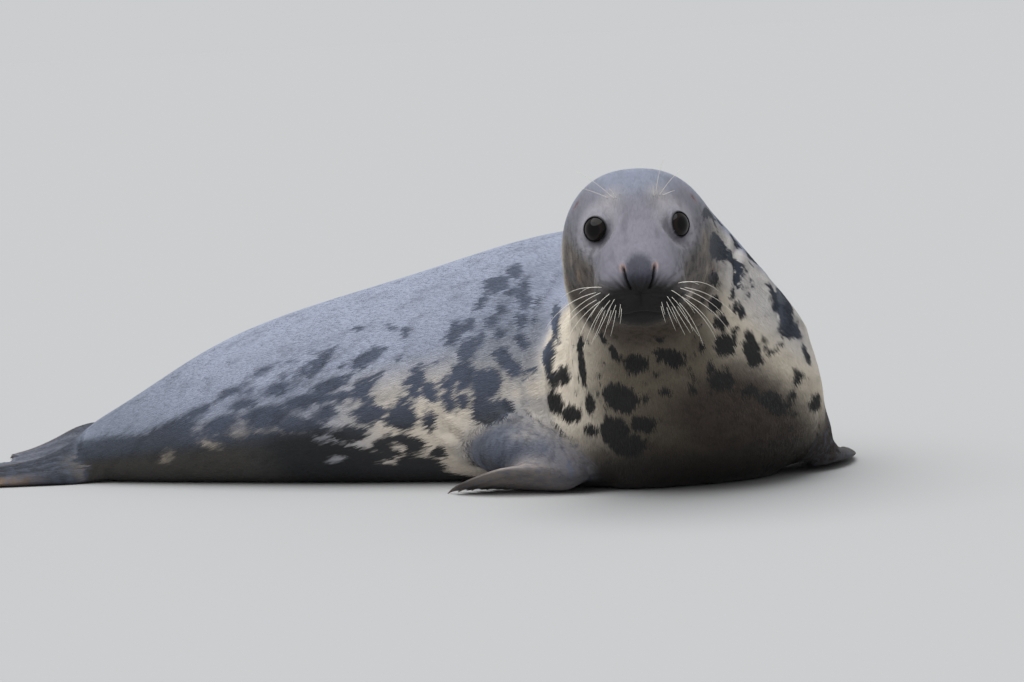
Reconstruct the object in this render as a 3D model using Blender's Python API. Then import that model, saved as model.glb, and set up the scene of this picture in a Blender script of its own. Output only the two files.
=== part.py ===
"""Life-size model of a grey seal cow lying on her belly, with her head raised and turned.

Metres, +Z up. The floor is z = 0, the hind trunk lies along +X and the head turns
to the animal's right, towards -Y.
"""

import math

import bmesh
import bpy
import numpy as np

# ---------------------------------------------------------------- driving sizes
CUT = 0.0006  # width of the thin cut between neighbouring lengths of the body
SEAT = 0.0005  # gap between a piece and what it is set in
CLAW_SEAT = 0.0009  # the same round a claw's root and between the tail and a flipper
TAIL_ROOT = (-0.930, 0.16, 0.050)  # where the centre line of the body starts
AROUND = 36  # points round each section of the body
RING_SPACING = 0.045  # distance between sections of the trunk

# The body's table of offsets, from the root of the tail to the muzzle.
# heading is to the animal's left of +X and climb is above the floor, in degrees.
# half, rise and drop run from the centre line to the side, the back and the belly.
# top and low are the squareness of the back and the belly, where 2 is an ellipse.
# sag is the share by which the section is wider at the belly and narrower at the back.
BODY = (
    # along heading climb half   rise   drop   top  low  sag
    (0.000, 0.0, 10.0, 0.076, 0.036, 0.056, 2.0, 2.3, 0.00),
    (0.100, 0.0, 10.0, 0.106, 0.067, 0.078, 2.0, 2.4, 0.02),
    (0.250, 0.0, 10.0, 0.146, 0.117, 0.108, 2.0, 2.5, 0.04),
    (0.450, 0.0, 8.5, 0.189, 0.152, 0.145, 2.0, 2.6, 0.06),
    (0.650, -1.0, 7.0, 0.216, 0.175, 0.174, 2.0, 2.6, 0.08),
    (0.850, -11.0, 3.0, 0.228, 0.204, 0.198, 2.0, 2.6, 0.12),
    (1.000, -34.0, 5.5, 0.226, 0.205, 0.216, 1.9, 2.6, 0.18),
    (1.120, -57.5, 27.0, 0.207, 0.182, 0.232, 1.9, 2.6, 0.28),
    (1.220, -80.5, 38.0, 0.163, 0.148, 0.226, 1.9, 2.5, 0.24),
    (1.310, -92.0, 34.0, 0.136, 0.120, 0.200, 2.0, 2.4, 0.14),
    (1.390, -86.0, 16.5, 0.122, 0.117, 0.162, 2.1, 2.3, 0.05),
    (1.460, -74.5, -2.0, 0.112, 0.129, 0.130, 2.3, 2.2, 0.00),
    (1.520, -71.5, -11.5, 0.098, 0.121, 0.098, 2.3, 2.2, 0.00),
    (1.555, -71.5, -11.5, 0.086, 0.106, 0.082, 2.3, 2.2, 0.00),
    (1.590, -71.5, -11.5, 0.074, 0.086, 0.070, 2.4, 2.3, 0.00),
    (1.625, -71.5, -11.5, 0.066, 0.065, 0.060, 2.5, 2.3, 0.00),
    (1.650, -71.5, -11.5, 0.062, 0.052, 0.054, 2.4, 2.3, 0.00),
)
NOSE_TIP = 1.670
MUZZLE_ROUND = 0.045  # length over which the muzzle rounds off to its tip
RIGHT_SAG = 0.3  # share of the sag on the right, inside the bend of the body

# Where the body is divided, along the centre line.
LENGTHS = (
    ("rump", 0.000, 0.300),
    ("loin", 0.300, 0.700),
    ("chest", 0.700, 1.170),
    ("neck", 1.170, 1.400),
)

# The head's own axes start at the tip of the nose: back, left and up.
EYE = (0.1100, 0.053, 0.0670)  # middle of the left eyeball
EYE_RADIUS = 0.0220
EYE_AXIS = (0.76, 0.55, 0.34)  # ahead, out and up, straight out through the lids
EAR_PLACE = (1.490, 51.0)  # along the body, and the turn in degrees from the back
EAR_AXIS = (0.10, 0.85, 0.52)
EAR_RADIUS = 0.009
EAR_SQUASH = 0.8
EAR_DEPTH = 0.005  # how far the middle of the ear lies under the skin
EAR_PIT = 0.0035  # radius of the hole in the ear

# Soft swellings and hollows: where (back, left, up), reach, and push (back, out, up).
FORMS = (
    ("whisker pad", (0.022, 0.042, -0.006), (0.026, 0.024, 0.024), (-0.008, 0.009, 0.000)),
    ("behind the pad", (0.066, 0.070, -0.004), (0.020, 0.024, 0.032), (0.000, -0.006, 0.000)),
    ("upper lip", (0.008, 0.014, -0.014), (0.020, 0.016, 0.016), (-0.007, 0.000, 0.000)),
    ("nose", (0.002, 0.012, 0.026), (0.026, 0.020, 0.020), (-0.010, 0.000, 0.003)),
    ("chin", (0.030, 0.000, -0.054), (0.028, 0.030, 0.016), (-0.004, 0.000, -0.003)),
    ("brow", (0.114, 0.044, 0.098), (0.026, 0.022, 0.018), (0.000, 0.002, 0.004)),
    ("eye hollow", (0.074, 0.056, 0.040), (0.022, 0.018, 0.022), (0.000, -0.003, -0.002)),
    ("cheek", (0.120, 0.084, 0.010), (0.040, 0.030, 0.040), (0.000, 0.003, 0.000)),
)

# The edge of the lower jaw from the lips to the throat, as (back, up), and its reach sideways.
JAW_EDGE = (
    (-0.060, -0.020),
    (0.010, -0.022),
    (0.050, -0.020),
    (0.080, -0.012),
    (0.094, -0.028),
    (0.116, -0.064),
    (0.130, -0.150),
    (-0.060, -0.150),
)
JAW_REACH = 0.15

# Upper limbs, as (place, half width, half height) from the elbow to the wrist.
FOREARMS = {
    "forearm_right": (
        ((-0.183, -0.030, 0.060), 0.024, 0.026),
        ((-0.160, -0.046, 0.060), 0.036, 0.040),
        ((-0.100, -0.080, 0.062), 0.044, 0.049),
        ((-0.035, -0.116, 0.054), 0.043, 0.048),
        ((0.015, -0.142, 0.038), 0.036, 0.036),
        ((0.036, -0.150, 0.030), 0.022, 0.024),
    ),
    "forearm_left": (
        ((0.235, 0.130, 0.180), 0.036, 0.030),
        ((0.270, 0.112, 0.134), 0.046, 0.038),
        ((0.304, 0.090, 0.082), 0.041, 0.034),
        ((0.322, 0.066, 0.038), 0.035, 0.030),
        ((0.327, 0.056, 0.016), 0.028, 0.024),
    ),
}

# Blades of the flippers, from the root to the tips. line is the middle of the blade,
# chord points from the fifth digit to the first, wide and thick are half sizes,
# and length is each digit's share of the line, from the fifth to the first.
FORE_BLADE = {
    "wide": (0.026, 0.034, 0.042, 0.046, 0.044),
    "thick": (0.018, 0.015, 0.012, 0.010, 0.007),
    "length": (0.76, 0.86, 0.93, 0.98, 1.00),
    "claw": 0.028,
    "claw_base": 0.0042,
}
HIND_BLADE = {
    "wide": (0.044, 0.042, 0.043, 0.046, 0.047),
    "thick": (0.026, 0.018, 0.012, 0.009, 0.007),
    "length": (1.00, 0.88, 0.82, 0.88, 1.00),
    "claw": 0.012,
    "claw_base": 0.0028,
}
FLIPPERS = {
    "fore_flipper_right": {
        "line": ((0.020, -0.146, 0.026), (-0.030, -0.147, 0.026), (-0.078, -0.137, 0.023),
                 (-0.126, -0.119, 0.016), (-0.172, -0.095, 0.008)),
        "chord": ((0, -0.6, 0.8), (0, -0.75, 0.66), (0, -0.86, 0.50), (0, -0.95, 0.30), (0.1, -0.98, 0.12)),
        **FORE_BLADE,
    },
    "fore_flipper_left": {
        "line": ((0.326, 0.056, 0.020), (0.322, 0.110, 0.020), (0.312, 0.162, 0.017),
                 (0.296, 0.212, 0.013), (0.275, 0.258, 0.008)),
        "chord": ((1, 0.1, 0.3), (0.97, 0.25, 0), (0.9, 0.42, -0.1), (0.8, 0.6, -0.1), (0.7, 0.72, 0)),
        **FORE_BLADE,
    },
    "hind_flipper_right": {
        "line": ((-0.905, 0.112, 0.040), (-0.975, 0.104, 0.024), (-1.050, 0.094, 0.016),
                 (-1.130, 0.088, 0.013), (-1.210, 0.086, 0.011)),
        "chord": ((0, 0.40, 0.9), (0, 0.90, 0.42), (0, 0.97, 0.22), (0, 0.99, 0.12), (0, 1, 0.06)),
        **HIND_BLADE,
    },
    "hind_flipper_left": {
        "line": ((-0.905, 0.208, 0.046), (-0.970, 0.220, 0.042), (-1.036, 0.236, 0.031),
                 (-1.102, 0.256, 0.020), (-1.162, 0.280, 0.014)),
        "chord": ((0, 0.10, 1), (0, 0.40, 0.92), (0.1, 0.75, 0.62), (0.2, 0.92, 0.34), (0.3, 0.94, 0.16)),
        **HIND_BLADE,
    },
}
LINE_STATIONS = (0.0, 0.25, 0.5, 0.75, 1.0)
DIGITS = (-0.80, -0.42, -0.02, 0.40, 0.80)  # each digit's place across the blade, 5th to 1st
DIGIT_WIDTH = 0.15  # reach of a digit's ridge, as a share of the half width
WEB_NOTCH = 0.06  # how far the web between two digits falls short of them
WEB_THICKNESS = 0.5  # thickness of the web, as a share of the digits'
CLAW_ROOT = 0.004  # depth of a claw's root in its digit
CLAW_HOOK = 0.22  # how far the tip hooks down, as a share of the claw's length
BLADE_AROUND = 32
BLADE_RINGS = 7

# The tail, as (place, half width, half height) from its root to its tip.
TAIL = (
    ((-0.915, 0.160, 0.062), 0.024, 0.012),
    ((-0.950, 0.160, 0.054), 0.022, 0.011),
    ((-0.980, 0.160, 0.045), 0.017, 0.009),
    ((-1.004, 0.160, 0.037), 0.009, 0.006),
    ((-1.012, 0.160, 0.034), 0.003, 0.003),
)


# ---------------------------------------------------------------- body surface
def cubic(stations, values):
    """A natural cubic spline through the stations, as a function."""
    x, y = np.array(stations, float), np.array(values, float)
    n, h = len(x), np.diff(x)
    system, right = np.eye(n), np.zeros(n)
    for i in range(1, n - 1):
        system[i, i - 1 : i + 2] = h[i - 1], 2 * (h[i - 1] + h[i]), h[i]
        right[i] = 6 * ((y[i + 1] - y[i]) / h[i] - (y[i] - y[i - 1]) / h[i - 1])
    bend = np.linalg.solve(system, right)

    def value(at):
        at = np.clip(np.asarray(at, float), x[0], x[-1])
        i = np.clip(np.searchsorted(x, at) - 1, 0, n - 2)
        a, b = (x[i + 1] - at) / h[i], (at - x[i]) / h[i]
        curve = (a**3 - a) * bend[i] + (b**3 - b) * bend[i + 1]
        return a * y[i] + b * y[i + 1] + curve * h[i] ** 2 / 6

    return value


def curve_through(points, stations=LINE_STATIONS):
    """A smooth curve through points in space, as a function of its station."""
    axes = [cubic(stations, column) for column in zip(*points)]
    return lambda at: np.stack([axis(at) for axis in axes], -1)


def unit(vectors):
    return vectors / np.linalg.norm(vectors, axis=-1, keepdims=True)


COLUMNS = list(zip(*BODY))
HEADING, CLIMB, HALF, RISE, DROP, TOP, LOW, SAG = (cubic(COLUMNS[0], c) for c in COLUMNS[1:])


def directions(along):
    """Forward, left and up of the section at this distance."""
    heading, climb = np.radians(HEADING(along)), np.radians(CLIMB(along))
    ch, sh, cc, sc = np.cos(heading), np.sin(heading), np.cos(climb), np.sin(climb)
    forward = np.stack([cc * ch, cc * sh, sc], -1)
    left = np.stack([-sh, ch, np.zeros_like(ch)], -1)
    up = np.stack([-sc * ch, -sc * sh, cc], -1)
    return forward, left, up


STEP = 0.002
WALK = np.arange(0, NOSE_TIP + STEP, STEP)
STEPS = directions(WALK[:-1] + STEP / 2)[0] * STEP
CENTRES = np.array(TAIL_ROOT) + np.vstack([np.zeros(3), np.cumsum(STEPS, 0)])


def centre(along):
    return np.stack([np.interp(along, WALK, CENTRES[:, k]) for k in range(3)], -1)


def power(value, squareness):
    return np.sign(value) * np.abs(value) ** (2 / squareness)


def muzzle_scale(along):
    """How far the section has shrunk where the muzzle rounds off."""
    t = np.clip((along - (NOSE_TIP - MUZZLE_ROUND)) / MUZZLE_ROUND, 0, 1)
    return (1 - t**2.6) ** (1 / 2.6)


def body_points(along, turn, grow=0.0):
    """Points of the body. turn is 0 on the back and pi on the belly, past the left side at pi / 2."""
    forward, left, up = directions(along)
    shrink = muzzle_scale(along)
    side, high = np.sin(turn), np.cos(turn)
    square = np.where(high > 0, TOP(along), LOW(along))
    sag = SAG(along) * np.where(side > 0, 1, RIGHT_SAG)
    across = (HALF(along) * shrink * (1 - sag * high) + grow) * power(side, square)
    height = (np.where(high > 0, RISE(along), DROP(along)) * shrink + grow) * power(high, square)
    points = centre(along) + across[..., None] * left + height[..., None] * up
    # The belly and the chest spread on the floor. Each point slides up in its own section.
    below = np.minimum(points[..., 2] + grow, 0)
    return points - (below / up[..., 2])[..., None] * up


# ---------------------------------------------------------------- head forms
HEAD_FORWARD, HEAD_LEFT, HEAD_UP = directions(np.array(NOSE_TIP))
HEAD_TIP = centre(np.array(NOSE_TIP))


def to_head(points):
    away = points - HEAD_TIP
    return np.stack([-away @ HEAD_FORWARD, away @ HEAD_LEFT, away @ HEAD_UP], -1)


def from_head(local):
    local = np.asarray(local, float)
    return HEAD_TIP - local[..., :1] * HEAD_FORWARD + local[..., 1:2] * HEAD_LEFT + local[..., 2:] * HEAD_UP


def shape_head(points):
    """Adds the head's forms to points of the plain body."""
    local = to_head(points)
    for _, where, reach, push in FORMS:
        for side in (1, -1):
            middle = np.array(where) * (1, side, 1)
            strength = np.exp(-((((local - middle) / reach) ** 2).sum(-1)))
            share = 0.5 if where[1] == 0 else 1.0
            local = local + share * strength[..., None] * np.array(push) * (1, side, 1)
    return from_head(local)


# ---------------------------------------------------------------- blades of the flippers
def on_floor(points, grow=0.0):
    return points * (1, 1, 0) + np.maximum(points[..., 2:], -grow) * (0, 0, 1)


def digit_strength(across):
    return sum(np.exp(-(((across - digit) / DIGIT_WIDTH) ** 2)) for digit in DIGITS)


def blade_places(spec, share, across):
    """Middle of the blade, its directions, and its half thickness, at a share of each digit's length."""
    reach = cubic(DIGITS, spec["length"])(across) - WEB_NOTCH * (1 - digit_strength(across)) * share**2
    at = share * np.clip(reach, 0, 1)
    line = curve_through(spec["line"])
    forward = unit(line(np.minimum(at + 0.01, 1)) - line(np.minimum(at + 0.01, 1) - 0.02))
    chord = curve_through(spec["chord"])(at)
    chord = unit(chord - (chord * forward).sum(-1, keepdims=True) * forward)
    normal = np.cross(forward, chord)
    wide, thick = cubic(LINE_STATIONS, spec["wide"])(at), cubic(LINE_STATIONS, spec["thick"])(at)
    ridge = WEB_THICKNESS + (1 - WEB_THICKNESS) * np.minimum(digit_strength(across), 1)
    even = np.clip(1 - share, 0, 1)  # the digits only part towards the tips
    body = np.sqrt(np.maximum(1 - across**2, 0)) ** (0.6 + 0.4 * even)
    half = thick * body * (even + (1 - even) * ridge)
    return line(at) + (wide * across)[..., None] * chord, forward, normal, half


def blade_ring(spec, share, grow=0.0):
    turn = np.linspace(0, 2 * math.pi, BLADE_AROUND, endpoint=False)
    across = np.cos(turn)
    middle, forward, normal, half = blade_places(spec, np.full(BLADE_AROUND, share), across)
    side = np.where(np.abs(np.sin(turn)) < 1e-9, 0, np.sign(np.sin(turn)))
    points = middle + ((half + grow) * side)[..., None] * normal
    edgewise = np.cross(normal, forward) * (across**15)[..., None]
    return on_floor(points + grow * (edgewise + share**8 * forward), grow)


# ---------------------------------------------------------------- mesh helpers
def clear_scene():
    for old in list(bpy.data.objects):
        bpy.data.objects.remove(old)


def material(name, colour, roughness, metallic=0.0):
    made = bpy.data.materials.new(name)
    made.use_nodes = True
    shader = made.node_tree.nodes["Principled BSDF"]
    shader.inputs["Base Color"].default_value = (*colour, 1)
    shader.inputs["Roughness"].default_value = roughness
    shader.inputs["Metallic"].default_value = metallic
    made.diffuse_color = (*colour, 1)
    return made


def finish_mesh(name, shell, finish, group):
    bmesh.ops.remove_doubles(shell, verts=shell.verts, dist=1e-5)
    bmesh.ops.triangulate(shell, faces=shell.faces, quad_method="FIXED")
    bmesh.ops.recalc_face_normals(shell, faces=shell.faces)
    mesh = bpy.data.meshes.new(name)
    shell.to_mesh(mesh)
    shell.free()
    mesh.shade_smooth()
    mesh.set_sharp_from_angle(angle=math.radians(50))
    mesh.materials.append(finish)
    made = bpy.data.objects.new(name, mesh)
    group.objects.link(made)
    return made


def loft(name, rings, finish, group, zip_end=False):
    """A closed solid through rings of points. zip_end closes a flat tip across its width."""
    shell = bmesh.new()
    rows = [[shell.verts.new(p) for p in ring] for ring in rings]
    for near, far in zip(rows, rows[1:]):
        for i, corner in enumerate(near):
            j = (i + 1) % len(near)
            shell.faces.new((corner, near[j], far[j], far[i]))
    shell.faces.new(rows[0][::-1])
    last, count = rows[-1], len(rows[-1])
    if zip_end:
        shell.faces.new((last[0], last[1], last[count - 1]))
        for i in range(1, count // 2 - 1):
            shell.faces.new((last[i], last[i + 1], last[count - i - 1], last[count - i]))
        shell.faces.new((last[count // 2 - 1], last[count // 2], last[count // 2 + 1]))
    else:
        shell.faces.new(last)
    return finish_mesh(name, shell, finish, group)


def ball(name, middle, axis, radius, finish, group, rows=8, squash=1.0):
    """A ball whose poles lie on axis, flattened along it by squash."""
    shell = bmesh.new()
    bmesh.ops.create_uvsphere(shell, u_segments=2 * rows, v_segments=rows, radius=radius)
    side = unit(np.cross(axis, (0.0, 0.0, 1.0)))
    frame = np.stack([side, np.cross(axis, side), np.array(axis)])
    for corner in shell.verts:
        corner.co = np.array(middle) + (np.array(corner.co) * (1, 1, squash)) @ frame
    return finish_mesh(name, shell, finish, group)


def slab(name, outline, reach, finish, group):
    """A cutter with this outline in the head's middle plane, as (back, up)."""
    shell = bmesh.new()
    near = [shell.verts.new(from_head((back, -reach, up))) for back, up in outline]
    far = [shell.verts.new(from_head((back, reach, up))) for back, up in outline]
    shell.faces.new(near)
    shell.faces.new(far[::-1])
    for i, corner in enumerate(near):
        j = (i + 1) % len(near)
        shell.faces.new((corner, near[j], far[j], far[i]))
    return finish_mesh(name, shell, finish, group)


def cut_by(piece, cutter, operation="DIFFERENCE"):
    cutter.hide_render = True
    cutter.display_type = "WIRE"
    step = piece.modifiers.new(cutter.name, "BOOLEAN")
    step.operation = operation
    step.solver = "EXACT"
    step.object = cutter


# ---------------------------------------------------------------- pieces
TURNS = np.linspace(0, 2 * math.pi, AROUND, endpoint=False)


def body_rings(stops, grow=0.0):
    return [shape_head(body_points(np.full(AROUND, stop), TURNS, grow)) for stop in stops]


def length_stops(start, end):
    count = max(4, round((end - start) / RING_SPACING))
    return np.linspace(start + CUT / 2, end - CUT / 2, count + 1)


def make_trunk(coat, seal):
    for name, start, end in LENGTHS:
        loft(name, body_rings(length_stops(start, end)), coat, seal)


def make_head(face, seal, cutters):
    """The head and the lower jaw are one form, parted along the lips."""
    back = np.linspace(LENGTHS[-1][2] + CUT / 2, NOSE_TIP - MUZZLE_ROUND, 12)
    angle = np.linspace(0, math.pi / 2, 7)[1:-1]
    stops = [*back, *(NOSE_TIP - MUZZLE_ROUND * (1 - np.sin(angle)))]
    head = loft("head", body_rings(stops), face, seal)
    jaw = loft("lower_jaw", body_rings(stops), face, seal)
    cut_by(head, slab("jaw_space", JAW_EDGE, JAW_REACH, face, cutters))
    inner = [(back - CUT, up - CUT) for back, up in JAW_EDGE]
    cut_by(jaw, slab("jaw_form", inner, JAW_REACH + CUT, face, cutters), "INTERSECT")
    return head


def head_axis(ahead, out, up, side):
    return unit(ahead * HEAD_FORWARD + side * out * HEAD_LEFT + up * HEAD_UP)


def make_eyes(head, eye_finish, seal, cutters):
    for name, side in (("left", 1), ("right", -1)):
        middle, axis = from_head(np.array(EYE) * (1, side, 1)), head_axis(*EYE_AXIS, side)
        ball(f"eye_{name}", middle, axis, EYE_RADIUS, eye_finish, seal)
        cut_by(head, ball(f"eye_socket_{name}", middle, axis, EYE_RADIUS + SEAT, eye_finish, cutters))


def make_ears(head, skin, seal, cutters):
    """Each ear is a low rim round a small hole, as a true seal has no ear flap."""
    along, turn = EAR_PLACE
    for name, side in (("left", 1), ("right", -1)):
        axis = head_axis(*EAR_AXIS, side)
        middle = shape_head(body_points(np.array(along), np.radians(side * turn))) - EAR_DEPTH * axis
        ear = ball(f"ear_{name}", middle, axis, EAR_RADIUS, skin, seal, 6, EAR_SQUASH)
        pit = middle + axis * EAR_RADIUS * EAR_SQUASH
        cut_by(ear, ball(f"ear_pit_{name}", pit, axis, EAR_PIT, skin, cutters, 6))
        cut_by(head, ball(f"ear_seat_{name}", middle, axis, EAR_RADIUS + SEAT, skin, cutters, 6, EAR_SQUASH))


def tube_rings(table, around, grow=0.0, count=8):
    """Rings of an oval limb whose table is (place, half width, half height)."""
    places, widths, heights = zip(*table)
    stations = np.linspace(0, 1, len(table))
    line = curve_through(places, stations)
    wide, high = cubic(stations, widths), cubic(stations, heights)
    turn = np.linspace(0, 2 * math.pi, around, endpoint=False)
    rings = []
    for at in np.linspace(0, 1, count):
        ahead = unit(line(min(at + 0.02, 1)) - line(min(at + 0.02, 1) - 0.04))
        side = unit(np.cross((0.0, 0.0, 1.0), ahead))
        over = np.cross(ahead, side)
        across = (wide(at) + grow) * np.cos(turn)[:, None] * side
        raised = (high(at) + grow) * np.sin(turn)[:, None] * over
        rings.append(on_floor(line(at) + across + raised, grow))
    return rings


def make_fore_limbs(coat, bare, claw_finish, seal, cutters):
    """A forearm lies against the chest, and its flipper against the wrist."""
    stops = np.concatenate([length_stops(start, end) for _, start, end in LENGTHS[1:]])
    chest_space = loft("chest_space", body_rings(stops, SEAT), coat, cutters)
    for side in ("right", "left"):
        table = FOREARMS[f"forearm_{side}"]
        forearm = loft(f"forearm_{side}", tube_rings(table, 20), coat, seal)
        cut_by(forearm, chest_space)
        arm_space = loft(f"forearm_space_{side}", tube_rings(table, 20, SEAT), coat, cutters)
        flipper, _ = make_blade(f"fore_flipper_{side}", bare, claw_finish, seal, cutters)
        cut_by(flipper, arm_space)
        cut_by(flipper, chest_space)


def make_hind_end(coat, bare, claw_finish, seal, cutters):
    """The hind flippers and the tail between them stand on the end of the rump."""
    rings = body_rings(length_stops(*LENGTHS[0][1:]), SEAT)
    behind = rings[0] - SEAT * directions(np.array(0.0))[0]
    rump_space = loft("rump_space", [behind, *rings], coat, cutters)
    tail = loft("tail", tube_rings(TAIL, 16, count=7), coat, seal)
    cut_by(tail, rump_space)
    for side in ("right", "left"):
        flipper, space = make_blade(f"hind_flipper_{side}", bare, claw_finish, seal, cutters)
        cut_by(flipper, rump_space)
        cut_by(tail, space)


def make_blade(name, skin, claw_finish, seal, cutters):
    spec = FLIPPERS[name]
    rings = [blade_ring(spec, share) for share in np.linspace(0, 1, BLADE_RINGS)]
    blade = loft(name, rings, skin, seal, zip_end=True)
    rings = [blade_ring(spec, share, CLAW_SEAT) for share in np.linspace(0, 1, BLADE_RINGS)]
    space = loft(f"{name}_space", rings, skin, cutters, zip_end=True)
    for number, digit in zip((5, 4, 3, 2, 1), DIGITS):
        at = np.array([digit])
        middle, forward, normal, _ = (value[0] for value in blade_places(spec, np.ones(1), at))
        down = normal if normal[2] < 0 else -normal
        claw = make_claw(f"{name}_claw_{number}", middle, forward, down, spec, claw_finish, seal)
        cut_by(claw, space)
    return blade, space


def make_claw(name, root, forward, down, spec, finish, group):
    """A claw tapers to its tip and hooks downwards."""
    side = np.cross(forward, down)
    turn = np.linspace(0, 2 * math.pi, 6, endpoint=False)
    rings = []
    for share in np.linspace(0, 1, 4):
        radius = spec["claw_base"] * (1 - 0.88 * share**1.3)
        ahead = spec["claw"] * share - CLAW_ROOT
        middle = root + forward * ahead + down * spec["claw"] * CLAW_HOOK * share**2
        middle[2] = max(middle[2], radius)
        rings.append(middle + radius * (0.8 * np.cos(turn)[:, None] * side + np.sin(turn)[:, None] * down))
    return loft(name, [on_floor(ring) for ring in rings], finish, group)


def main():
    clear_scene()
    seal = bpy.data.collections.new("grey_seal")
    cutters = bpy.data.collections.new("cutters")
    for group in (seal, cutters):
        bpy.context.scene.collection.children.link(group)
    coat = material("grey_coat", (0.23, 0.24, 0.25), 0.7)
    face = material("face_coat", (0.26, 0.25, 0.25), 0.7)
    flipper_coat = material("flipper_coat", (0.15, 0.15, 0.16), 0.6)
    eye_finish = material("dark_eye", (0.01, 0.008, 0.008), 0.05)
    ear_skin = material("ear_skin", (0.24, 0.12, 0.10), 0.6)
    claw_finish = material("dark_claw", (0.03, 0.025, 0.02), 0.35)
    make_trunk(coat, seal)
    head = make_head(face, seal, cutters)
    make_eyes(head, eye_finish, seal, cutters)
    make_ears(head, ear_skin, seal, cutters)
    make_fore_limbs(coat, flipper_coat, claw_finish, seal, cutters)
    make_hind_end(coat, flipper_coat, claw_finish, seal, cutters)


main()
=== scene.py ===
import math

import bmesh
import bpy
import numpy as np
from mathutils import Matrix, Vector, kdtree


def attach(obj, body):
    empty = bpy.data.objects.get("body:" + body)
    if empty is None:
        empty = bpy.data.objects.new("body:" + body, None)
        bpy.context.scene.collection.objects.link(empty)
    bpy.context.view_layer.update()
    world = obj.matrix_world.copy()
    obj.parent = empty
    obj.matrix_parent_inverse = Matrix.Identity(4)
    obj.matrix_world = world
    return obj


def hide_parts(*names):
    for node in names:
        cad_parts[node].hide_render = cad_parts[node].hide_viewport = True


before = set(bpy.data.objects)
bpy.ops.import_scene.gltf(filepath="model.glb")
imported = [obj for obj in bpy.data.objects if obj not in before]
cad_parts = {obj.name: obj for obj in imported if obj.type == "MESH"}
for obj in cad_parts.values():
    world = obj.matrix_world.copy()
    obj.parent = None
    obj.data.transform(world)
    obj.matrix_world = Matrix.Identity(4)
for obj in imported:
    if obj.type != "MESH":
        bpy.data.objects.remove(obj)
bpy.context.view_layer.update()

# ================================================================ the body's own form
# A grey seal cow on her belly: one thick spindle of blubber from the tail to the nose,
# bent to her right at the shoulders, with the head raised. The form is the same table
# of sections as the solids use, drawn in by the depth of the coat that grows over it.
COAT_DEPTH = 0.0020  # body hair lies this deep
FACE_DEPTH = 0.0012  # and on the face this deep
TAIL_ROOT = (-0.930, 0.16, 0.050)
NOSE_TIP = 1.670
MUZZLE_ROUND, MUZZLE_SHAPE = 0.045, 2.6  # how far back the muzzle rounds off, and how squarely
RIGHT_SAG = 0.3  # share of the sag that the right side shows
BODY = (
    # along heading climb half   rise   drop   top  low  sag
    (0.000, 0.0, 10.0, 0.076, 0.036, 0.056, 2.0, 2.3, 0.00),
    (0.100, 0.0, 10.0, 0.106, 0.067, 0.078, 2.0, 2.4, 0.02),
    (0.250, 0.0, 10.0, 0.146, 0.117, 0.108, 2.0, 2.5, 0.04),
    (0.450, 0.0, 8.5, 0.189, 0.152, 0.145, 2.0, 2.6, 0.06),
    (0.650, -1.0, 7.0, 0.216, 0.175, 0.174, 2.0, 2.6, 0.08),
    (0.850, -11.0, 3.0, 0.228, 0.204, 0.198, 2.0, 2.6, 0.12),
    (1.000, -34.0, 5.5, 0.226, 0.205, 0.216, 1.9, 2.6, 0.18),
    (1.120, -57.5, 27.0, 0.207, 0.182, 0.232, 1.9, 2.6, 0.28),
    (1.220, -80.5, 38.0, 0.163, 0.148, 0.226, 1.9, 2.5, 0.24),
    (1.310, -92.0, 34.0, 0.136, 0.120, 0.200, 2.0, 2.4, 0.14),
    (1.390, -86.0, 16.5, 0.122, 0.117, 0.162, 2.1, 2.3, 0.05),
    (1.460, -74.5, -2.0, 0.112, 0.129, 0.130, 2.3, 2.2, 0.00),
    (1.520, -71.5, -11.5, 0.098, 0.121, 0.098, 2.3, 2.2, 0.00),
    (1.555, -71.5, -11.5, 0.086, 0.106, 0.082, 2.3, 2.2, 0.00),
    (1.590, -71.5, -11.5, 0.074, 0.086, 0.070, 2.4, 2.3, 0.00),
    (1.625, -71.5, -11.5, 0.066, 0.065, 0.060, 2.5, 2.3, 0.00),
    (1.650, -71.5, -11.5, 0.062, 0.052, 0.054, 2.4, 2.3, 0.00),
)
# Swellings of the head: where (back, left, up) from the nose, reach, push (back, out, up).
HEAD_FORMS = (
    ((0.022, 0.042, -0.006), (0.026, 0.024, 0.024), (-0.008, 0.009, 0.000)),  # whisker pad
    ((0.066, 0.070, -0.004), (0.020, 0.024, 0.032), (0.000, -0.006, 0.000)),  # behind the pad
    ((0.008, 0.014, -0.014), (0.020, 0.016, 0.016), (-0.007, 0.000, 0.000)),  # upper lip
    ((0.002, 0.012, 0.026), (0.026, 0.020, 0.020), (-0.010, 0.000, 0.003)),  # nose
    ((0.030, 0.000, -0.054), (0.028, 0.030, 0.016), (-0.004, 0.000, -0.003)),  # chin
    ((0.114, 0.044, 0.098), (0.026, 0.022, 0.018), (0.000, 0.002, 0.004)),  # brow
    ((0.074, 0.056, 0.040), (0.022, 0.018, 0.022), (0.000, -0.003, -0.002)),  # before the eye
    ((0.120, 0.084, 0.010), (0.040, 0.030, 0.040), (0.000, 0.003, 0.000)),  # cheek
)


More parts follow.
